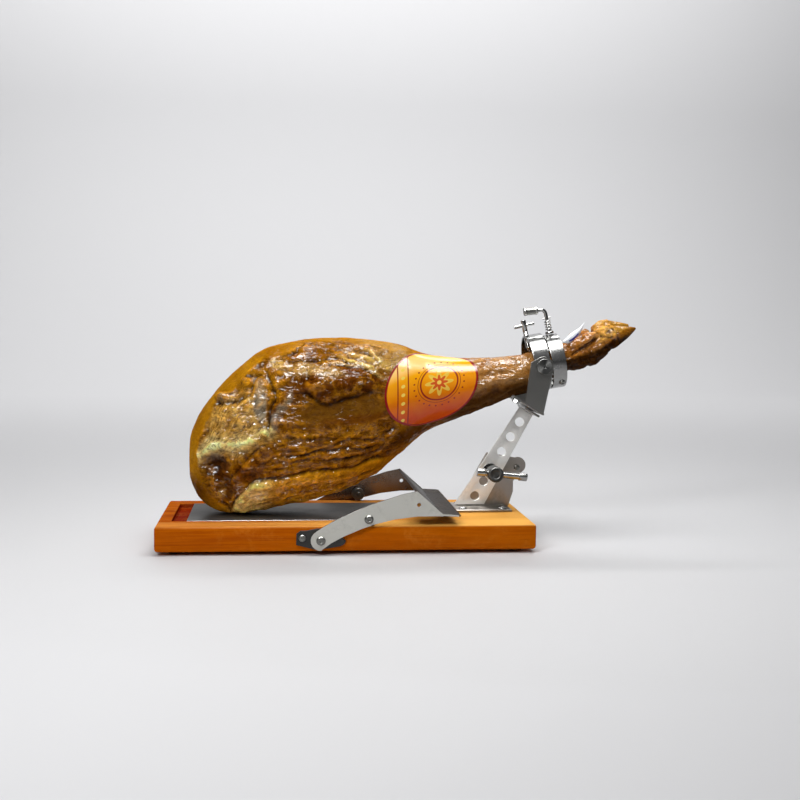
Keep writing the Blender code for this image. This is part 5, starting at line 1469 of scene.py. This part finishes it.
# %% Lobes of the foot
def lobe(name, stations, around=40):
    """A closed loft with oval rings square to its path; a station is (x, y, z, half width, half height)."""
    table = np.array(stations, float)
    t = np.linspace(0, len(table) - 1, 6 * (len(table) - 1) + 1)
    smooth = np.stack([curve_through(t, np.arange(len(table)), table[:, k]) for k in range(5)], -1)
    path, half_wide, half_high = smooth[:, :3], smooth[:, 3:4], smooth[:, 4:5]
    way = np.gradient(path, axis=0)
    way /= np.linalg.norm(way, axis=1, keepdims=True)
    wide = np.cross([0.0, 0.0, 1.0], way)
    wide /= np.linalg.norm(wide, axis=1, keepdims=True)
    high = np.cross(way, wide)
    a = np.linspace(0, 2 * math.pi, around, endpoint=False)[:, None]
    rings = [p + np.cos(a) * w * u + np.sin(a) * h * v
             for p, u, v, w, h in zip(path, wide, high, half_wide, half_high)]
    ball = np.sin(np.linspace(0.15, math.pi / 2, 5))[:-1]

    def cap(end, sign, shares):
        """Rings of a rounded end, each a share of the end ring's size and 0.8 * sqrt(1 - share^2) out."""
        return [path[end] + sign * way[end] * half_high[end] * 0.8 * math.sqrt(1 - s * s)
                + (rings[end] - path[end]) * s for s in shares]

    return closed_skin(name, np.array(cap(0, -1, ball) + rings + cap(-1, 1, ball[::-1])))


CLAWS = {                             # stations in millimetres
    "near_claw": ((365, -6, 288, 12.5, 15), (380, -7, 294.5, 13, 17), (395, -7.8, 299.5, 12, 15),
                  (408, -8, 304, 9.5, 10.5), (418.5, -7.2, 308.2, 6.5, 5.6), (425, -6.2, 310.6, 3, 2.2)),
    "far_claw": ((374, 13, 306, 9, 10), (384, 15, 310.5, 11.5, 11.8), (396, 16.5, 311, 11, 10.5),
                 (409, 16, 312.5, 8.5, 7.2), (420, 14.5, 314.2, 4.5, 3.2)),
    "near_dewclaw": ((329, -14, 283, 8, 8.5), (340, -18, 289, 8.8, 9.4), (351, -19.5, 295, 7.5, 7.8),
                     (361, -19, 301, 4, 4.2)),
    "far_dewclaw": ((336, 15, 293, 7.5, 7), (348, 19, 299, 8, 7.2), (360, 19.5, 304.5, 5.5, 4.2)),
    "pastern_swell": ((356, -3, 273, 20, 19), (372, -2, 286, 18.5, 18), (386, 2, 296, 16, 14))}


def foot_lobes():
    """All lobes of the foot in one mesh, before they are fused."""
    x, angle = np.meshgrid(np.linspace(0.2980, 0.3900, 60),
                           np.linspace(-math.pi, math.pi, 96, endpoint=False), indexing="ij")
    stub = leg_surface(x, angle)
    centre = stub.mean(axis=1, keepdims=True)
    build = bmesh.new()
    build.from_mesh(closed_skin("pastern", centre + (stub - centre) * (1.0, 0.985, 0.985)))
    for name, stations in CLAWS.items():
        build.from_mesh(lobe(name, np.array(stations) / 1000 + (0, STAND_Y, 0, 0, 0)))
    mesh = bpy.data.meshes.new("foot_lobes")
    bmesh.ops.recalc_face_normals(build, faces=build.faces)
    build.to_mesh(mesh)
    build.free()
    return mesh


def fused(mesh, voxel, smoothing):
    """One closed skin over overlapping lobes: voxel remesh, then a few rounds of smoothing, applied."""
    shape = bpy.data.objects.new("fusing", mesh)
    bpy.context.scene.collection.objects.link(shape)
    remesh = shape.modifiers.new("voxels", "REMESH")
    remesh.mode, remesh.voxel_size, remesh.adaptivity = "VOXEL", voxel, 0.0
    relax = shape.modifiers.new("relax", "SMOOTH")
    relax.factor, relax.iterations = 0.5, smoothing
    bpy.context.view_layer.update()
    done = bpy.data.meshes.new_from_object(shape.evaluated_get(bpy.context.evaluated_depsgraph_get()))
    bpy.data.objects.remove(shape)
    return done


foot_mesh = fused(foot_lobes(), 0.0009, 7)
print("foot:", len(foot_mesh.vertices), "points after fusing")

# %% [markdown]
# ### Relief and colour of the foot
# The creases lie where skin meets horn and where the dewclaws spring from the pastern.

# %% Creases, wrinkles and paint on the foot
CLAW_CREASE = path(380, 318, 389, 310, 395, 300, 399, 290, 400, 282)
DEWCLAW_CREASE = path(324, 270, 332, 275, 342, 282, 354, 290, 364, 300)
PASTERN_CREASE = path(362, 306, 370, 299, 380, 296, 390, 299)


def foot_points(mesh):
    """Points and normals of a mesh as arrays."""
    points, normals = np.zeros(len(mesh.vertices) * 3), np.zeros(len(mesh.vertices) * 3)
    mesh.vertices.foreach_get("co", points)
    mesh.vertex_normals.foreach_get("vector", normals)
    return points.reshape(-1, 3), normals.reshape(-1, 3)


def finish_foot(mesh):
    """Displace and paint the fused foot in place."""
    points, normals = foot_points(mesh)
    near = soft(-normals[:, 1], -0.1, 0.3)
    seam = soft(points[:, 0], 0.300, 0.316)
    wobble = 0.0016 * lumps(points, 0.009, 61, 2)
    place = (points[:, 0] + wobble, points[:, 2] + 0.0016 * lumps(points, 0.009, 62, 2))
    rings = fibres(points, 2.1, 0.030, 0.0058, 63)
    folds = fibres(points, 0.6, 0.018, 0.0050, 64)
    grain = lumps(points, 0.0042, 65, 2)
    claw_line, _ = beside(place, CLAW_CREASE)
    horn = soft(claw_line, 0.0, 0.003) * soft(points[:, 0], 0.386, 0.394)
    dew = oval(place, (0.348, 0.2945), (0.018, 0.0075), 38, 0.5) * near
    height = groove(place, CLAW_CREASE, 0.0009, 0.0016, 0.5, 0.12, 0.7)
    height += groove(place, PASTERN_CREASE, 0.0016, 0.0018) * near
    height += groove(place, DEWCLAW_CREASE, 0.0026, 0.0026) * near
    height += (1 - horn) * (0.0013 * (rings - 0.3) + 0.0011 * (folds - 0.3) + 0.0005 * grain)
    height = height * seam
    points = points + normals * height[:, None]

    mottle, speck = lumps(points, 0.012, 66, 3), lumps(points, 0.004, 67, 2)
    layers = Paint((len(points),), (0.330, 0.120, 0.014), 0.95)
    paint = layers.over
    x, z = points[:, 0], points[:, 2]
    rise = z - np.interp(x, (0.30, 0.34, 0.37, 0.395, 0.43), (0.262, 0.272, 0.284, 0.297, 0.3085))
    paint(soft(mottle, 0.0, 0.6) * 0.6, (0.070, 0.020, 0.002))
    paint(soft(-mottle, 0.0, 0.6) * 0.5, (0.480, 0.230, 0.050))
    paint(soft(x, 0.362, 0.372) * soft(rise, 0.002, 0.009) * 0.85, (0.600, 0.310, 0.055), 0.6)
    paint(dew * soft(x, 0.335, 0.360), (0.560, 0.250, 0.070), 0.9)
    # painted highlight at the tip of the near dewclaw
    paint(soft(x, 0.357, 0.364) * dew * 0.8, (0.720, 0.380, 0.090), 0.9)
    paint(horn, (0.330, 0.120, 0.006), 0.75)
    paint(horn * soft(rise + speck * 0.002, 0.006, 0.010) * 0.8, (0.640, 0.330, 0.040), 0.8)
    # painted shade: the low side of the foot is made nearly black
    paint(soft(0.0035 - rise + speck * 0.002, 0.0, 0.009) * 0.92, (0.012, 0.003, 0.0003), 0.15)
    # painted shade in the creases and a painted highlight on the crests
    paint(soft(-height, 0.0001, 0.0011) * 0.80, (0.040, 0.010, 0.001))
    colour = np.clip(layers.colour * (1 + 0.5 * soft(height, 0.0, 0.0010) + 0.12 * speck)[:, None], 0, 0.9)

    points[:, 0] += SHIFT
    mesh.vertices.foreach_set("co", points.ravel())
    mesh.update()
    store_paint(mesh, colour, np.clip(layers.wet, 0, 1), np.full(len(points), 0.7))
    mesh.shade_smooth()


finish_foot(foot_mesh)
new_piece("ham_trotter", foot_mesh, ham_skin, "ham")
print("trotter:", len(foot_mesh.polygons), "faces")

# %% [markdown]
# ## The label and the tag
# A glossy oval band of printed paper is glued over the shank.  Its print is a design of
# its own: a warm gradient, a dark red rim, a rosette of petals in a double ring with
# beads round it, and a row of dots between two lines at one side, with no letters.  A
# painted highlight, a pale band, runs across its top.  The tag is a narrow strip of white
# paper that curls up from between the hoops, so it is a grid along one short path.

# %% Label surface
LABEL_ROWS, LABEL_COLUMNS = 120, 110
LABEL_CENTRE_ARC, LABEL_HALF_ARC = 0.016, 0.0600


def label_grid():
    """Points of the label and its flat coordinates u along the leg, v up round it, both from -1 to 1."""
    u = np.sin(np.linspace(-math.pi / 2, math.pi / 2, LABEL_ROWS)) * 0.9995
    v = np.linspace(-1, 1, LABEL_COLUMNS)
    x = LABEL_MIDDLE[0] + LABEL_REACH * u
    half = LABEL_HALF_ARC * np.sqrt(1 - u ** 2)
    arc = LABEL_CENTRE_ARC + half[:, None] * v[None]
    turn = np.linspace(-math.pi, math.pi, 1441)
    dense = leg_surface(x[:, None], turn[None])
    step = np.linalg.norm(np.diff(dense, axis=1), axis=2)
    gone = np.concatenate([np.zeros((len(x), 1)), np.cumsum(step, axis=1)], axis=1)
    gone = gone - gone[:, [len(turn) // 2]]             # counted from the front, where the angle is 0
    angle = np.array([np.interp(a, row, turn) for a, row in zip(arc, gone)])
    x, u = (np.repeat(values[:, None], LABEL_COLUMNS, 1) for values in (x, u))
    points = leg_surface(x, angle)
    normal = np.cross(leg_surface(x + 1e-4, angle) - points, leg_surface(x, angle + 1e-4) - points)
    normal /= np.linalg.norm(normal, axis=2, keepdims=True)
    normal *= np.where(normal[LABEL_ROWS // 2, LABEL_COLUMNS // 2, 1] > 0, -1.0, 1.0)
    lift = 0.0008 + 0.00025 * lumps(points, 0.020, 71, 2) + 0.0006 * soft(np.abs(u), 0.9, 1.0)
    flat = np.stack([u, (arc - LABEL_CENTRE_ARC) / LABEL_HALF_ARC], -1)
    return points + normal * lift[..., None] + (SHIFT, 0, 0), flat


label_points, label_flat = label_grid()
print("label spans", [round(float(span) * 1000) for span in np.ptp(label_points, axis=(0, 1))], "mm")


# %% Label print
def ring_mask(tree, distance, radius, half, blur=0.006):
    """1 within half of a radius, with soft edges."""
    away = sums(tree, "ABSOLUTE", sums(tree, "SUBTRACT", distance, radius))
    return ranged(tree, away, half + blur, half - blur)


def make_label_paper():
    """Gradient from yellow to deep orange, painted highlight, rim, rings, rosette r = a + b cos(n t), dots,
    beads.
    """
    material, tree, shader, place = new_material("printed_label_paper")
    flat = put(tree, "UVMap", uv_map="label_flat").outputs["UV"]
    parts = put(tree, "SeparateXYZ", {"Vector": flat}).outputs
    u, v = parts["X"], parts["Y"]
    radius = put(tree, "VectorMath", {0: flat}, operation="LENGTH").outputs["Value"]
    wash = noise(tree, place, 60.0, 3.0)
    height = sums(tree, "ADD", v, times(tree, sums(tree, "SUBTRACT", wash, 0.5), 0.3))
    colour = mixed(tree, ranged(tree, height, -0.9, 0.8), (0.60, 0.050, 0.0005, 1), (1.00, 0.480, 0.004, 1))
    # painted highlight: a pale band across the upper part of the label, wider towards the left
    band = sums(tree, "ABSOLUTE", sums(tree, "SUBTRACT", v, 0.62))
    reach = sums(tree, "ADD", times(tree, u, -0.18), 0.26)
    painted_highlight = ranged(tree, sums(tree, "DIVIDE", band, reach), 1.05, 0.25, 0.0, 0.45)
    colour = mixed(tree, painted_highlight, colour, (1.00, 0.86, 0.46, 1))
    ink = (0.26, 0.008, 0.010, 1)

    centre_u = sums(tree, "SUBTRACT", u, 0.16)
    away = length_of(tree, centre_u, v)
    turn = sums(tree, "ARCTAN2", v, centre_u)
    petals = sums(tree, "COSINE", times(tree, turn, 8.0))
    petal_edge = sums(tree, "ADD", times(tree, petals, 0.075), 0.235)
    flower = ranged(tree, sums(tree, "SUBTRACT", petal_edge, away), -0.006, 0.006)
    inner = ranged(tree, sums(tree, "SUBTRACT", times(tree, petal_edge, 0.62), away), -0.006, 0.006)
    colour = mixed(tree, times(tree, flower, 0.85), colour, (0.80, 0.56, 0.08, 1))
    colour = mixed(tree, times(tree, inner, 0.9), colour, (0.62, 0.045, 0.010, 1))
    colour = mixed(tree, ranged(tree, away, 0.052, 0.044), colour, (0.85, 0.60, 0.10, 1))
    for ring, half in ((0.40, 0.016), (0.46, 0.006)):
        colour = mixed(tree, ring_mask(tree, away, ring, half), colour, ink)

    for edge, half in ((-0.50, 0.012), (-0.72, 0.012)):
        colour = mixed(tree, ring_mask(tree, u, edge, half), colour, ink)
    stripe = sums(tree, "SUBTRACT", sums(tree, "FRACT", times(tree, v, 5.0)), 0.5)
    dot_v = times(tree, stripe, 0.2)
    dot_u = sums(tree, "ADD", u, 0.61)
    dots = length_of(tree, dot_u, dot_v)
    colour = mixed(tree, ranged(tree, dots, 0.046, 0.036), colour, (0.86, 0.62, 0.10, 1))
    tick = sums(tree, "SUBTRACT", sums(tree, "FRACT", times(tree, turn, 24 / math.tau)), 0.5)
    beads = length_of(tree, sums(tree, "SUBTRACT", away, 0.54), times(tree, tick, 0.14))
    colour = mixed(tree, ranged(tree, beads, 0.024, 0.014), colour, ink)
    colour = mixed(tree, ranged(tree, radius, 0.945, 0.962), colour, ink)

    creased = bumped(tree, noise(tree, place, 130.0, 3.0, 0.5), 0.0005, 0.35)
    feed(tree, shader, {"Base Color": colour, "Roughness": 0.40, "Specular IOR Level": 0.0,
                        "Coat Weight": 0.8, "Coat IOR": 1.48, "Coat Roughness": 0.12,
                        "Normal": creased, "Coat Normal": creased})
    return material


def paper_piece(name, node, points, flat, map_name, material, thickness):
    """A sheet of paper in place of a solid, printed side to the front, its flat coordinates as a UV map."""
    mesh = make_mesh(name, points, grid_faces(*points.shape[:2]))
    at = np.zeros(len(mesh.loops), int)
    mesh.loops.foreach_get("vertex_index", at)
    mesh.uv_layers.new(name=map_name).data.foreach_set("uv", flat.reshape(-1, 2)[at].ravel())
    if mesh.polygons[len(mesh.polygons) // 2].normal.y > 0:
        mesh.flip_normals()
    paper = new_piece(name, mesh, material, node).modifiers.new("paper", "SOLIDIFY")
    paper.thickness, paper.offset = thickness, -1.0


paper_piece("shank_label", "label", label_points, label_flat, "label_flat", make_label_paper(), 0.0003)
print("label print ready")

# %% The curled paper tag
TAG_PATH = path(314, 289.5, 321, 292.5, 328.5, 297.5, 335.5, 304, 341.5, 310.8, 346.2, 318.7)
TAG_HALF = np.array([0.0016, 0.0046, 0.0058, 0.0046, 0.0018, 0.0004])


def make_tag_paper():
    """White paper with one plain blue stripe along the lower edge of its wide part."""
    material, tree, shader, place = new_material("white_tag_paper")
    flat = put(tree, "UVMap", uv_map="tag_flat").outputs["UV"]
    parts = put(tree, "SeparateXYZ", {"Vector": flat}).outputs
    middle = sums(tree, "ABSOLUTE", sums(tree, "ADD", parts["Y"], 0.40))
    ends = times(tree, ranged(tree, parts["X"], 0.20, 0.24), ranged(tree, parts["X"], 0.62, 0.56))
    stripe = times(tree, ranged(tree, middle, 0.30, 0.22), ends)
    colour = mixed(tree, stripe, (0.80, 0.82, 0.86, 1), (0.020, 0.014, 0.34, 1))
    creased = bumped(tree, noise(tree, place, 240.0, 3.0), 0.0003, 0.4)
    feed(tree, shader, {"Base Color": colour, "Roughness": 0.42, "Normal": creased})
    return material


def tag_grid(rows=60, columns=18):
    """A narrow strip that stands up from the hoop and curls to a point, bellied towards the front."""
    t = np.linspace(0, len(TAG_PATH) - 1, rows)
    knots = np.arange(len(TAG_PATH))
    x, z = (curve_through(t, knots, values) for values in TAG_PATH.T)
    half = np.maximum(curve_through(t, knots, TAG_HALF), 0.0003)
    run = np.stack([np.gradient(x), np.gradient(z)], -1)
    run /= np.linalg.norm(run, axis=1, keepdims=True)
    v = np.linspace(-1, 1, columns)
    belly = 0.0030 * (1 - v ** 2)[None] * (half / TAG_HALF.max())[:, None]
    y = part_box("tag")[0].y + 0.0012 - belly + 0.0035 * (t[:, None] / t.max()) ** 2
    points = np.stack([x[:, None] + run[:, 1:2] * -half[:, None] * v, y,
                       z[:, None] + run[:, 0:1] * half[:, None] * v], -1)
    flat = np.stack(np.meshgrid(t / t.max(), v, indexing="ij"), -1)
    return points + (SHIFT, 0, 0), flat


tag_points, tag_flat = tag_grid()
paper_piece("paper_tag", "tag", tag_points, tag_flat, "tag_flat", make_tag_paper(), 0.0004)
print("tag", round(float(np.ptp(tag_points[..., 2])) * 1000), "mm high")
# %% [markdown]
# ## The floor
# A plain pale floor.

# %% Floor that runs up into a backdrop far behind the object
def studio_floor(near=-6.0, far=2.8, bend=1.4, top=4.5, half_width=7.0):
    """A sweep: flat floor, quarter circle, wall; profile points (y, z) carried along X."""
    a = np.linspace(0, math.pi / 2, 25)
    arc = np.stack([far + bend * np.sin(a), bend * (1 - np.cos(a))], -1)
    profile = np.vstack([[near, 0.0], arc, [far + bend, top]])
    points = np.array([[(x, y, z) for x in (-half_width, half_width)] for y, z in profile])
    mesh = make_mesh("floor", points, grid_faces(len(profile), 2))
    if mesh.polygons[0].normal.z < 0:
        mesh.flip_normals()
    return mesh


floor_mesh = studio_floor()
floor = bpy.data.objects.new("floor", floor_mesh)
bpy.context.scene.collection.objects.link(floor)
floor_paint, tree, shader, _ = new_material("pale_floor")
feed(tree, shader, {"Base Color": (0.62, 0.62, 0.63, 1.0), "Roughness": 0.6, "Specular IOR Level": 0.2})
floor_mesh.materials.append(floor_paint)
print("floor:", len(floor_mesh.polygons), "faces, not part of the object")
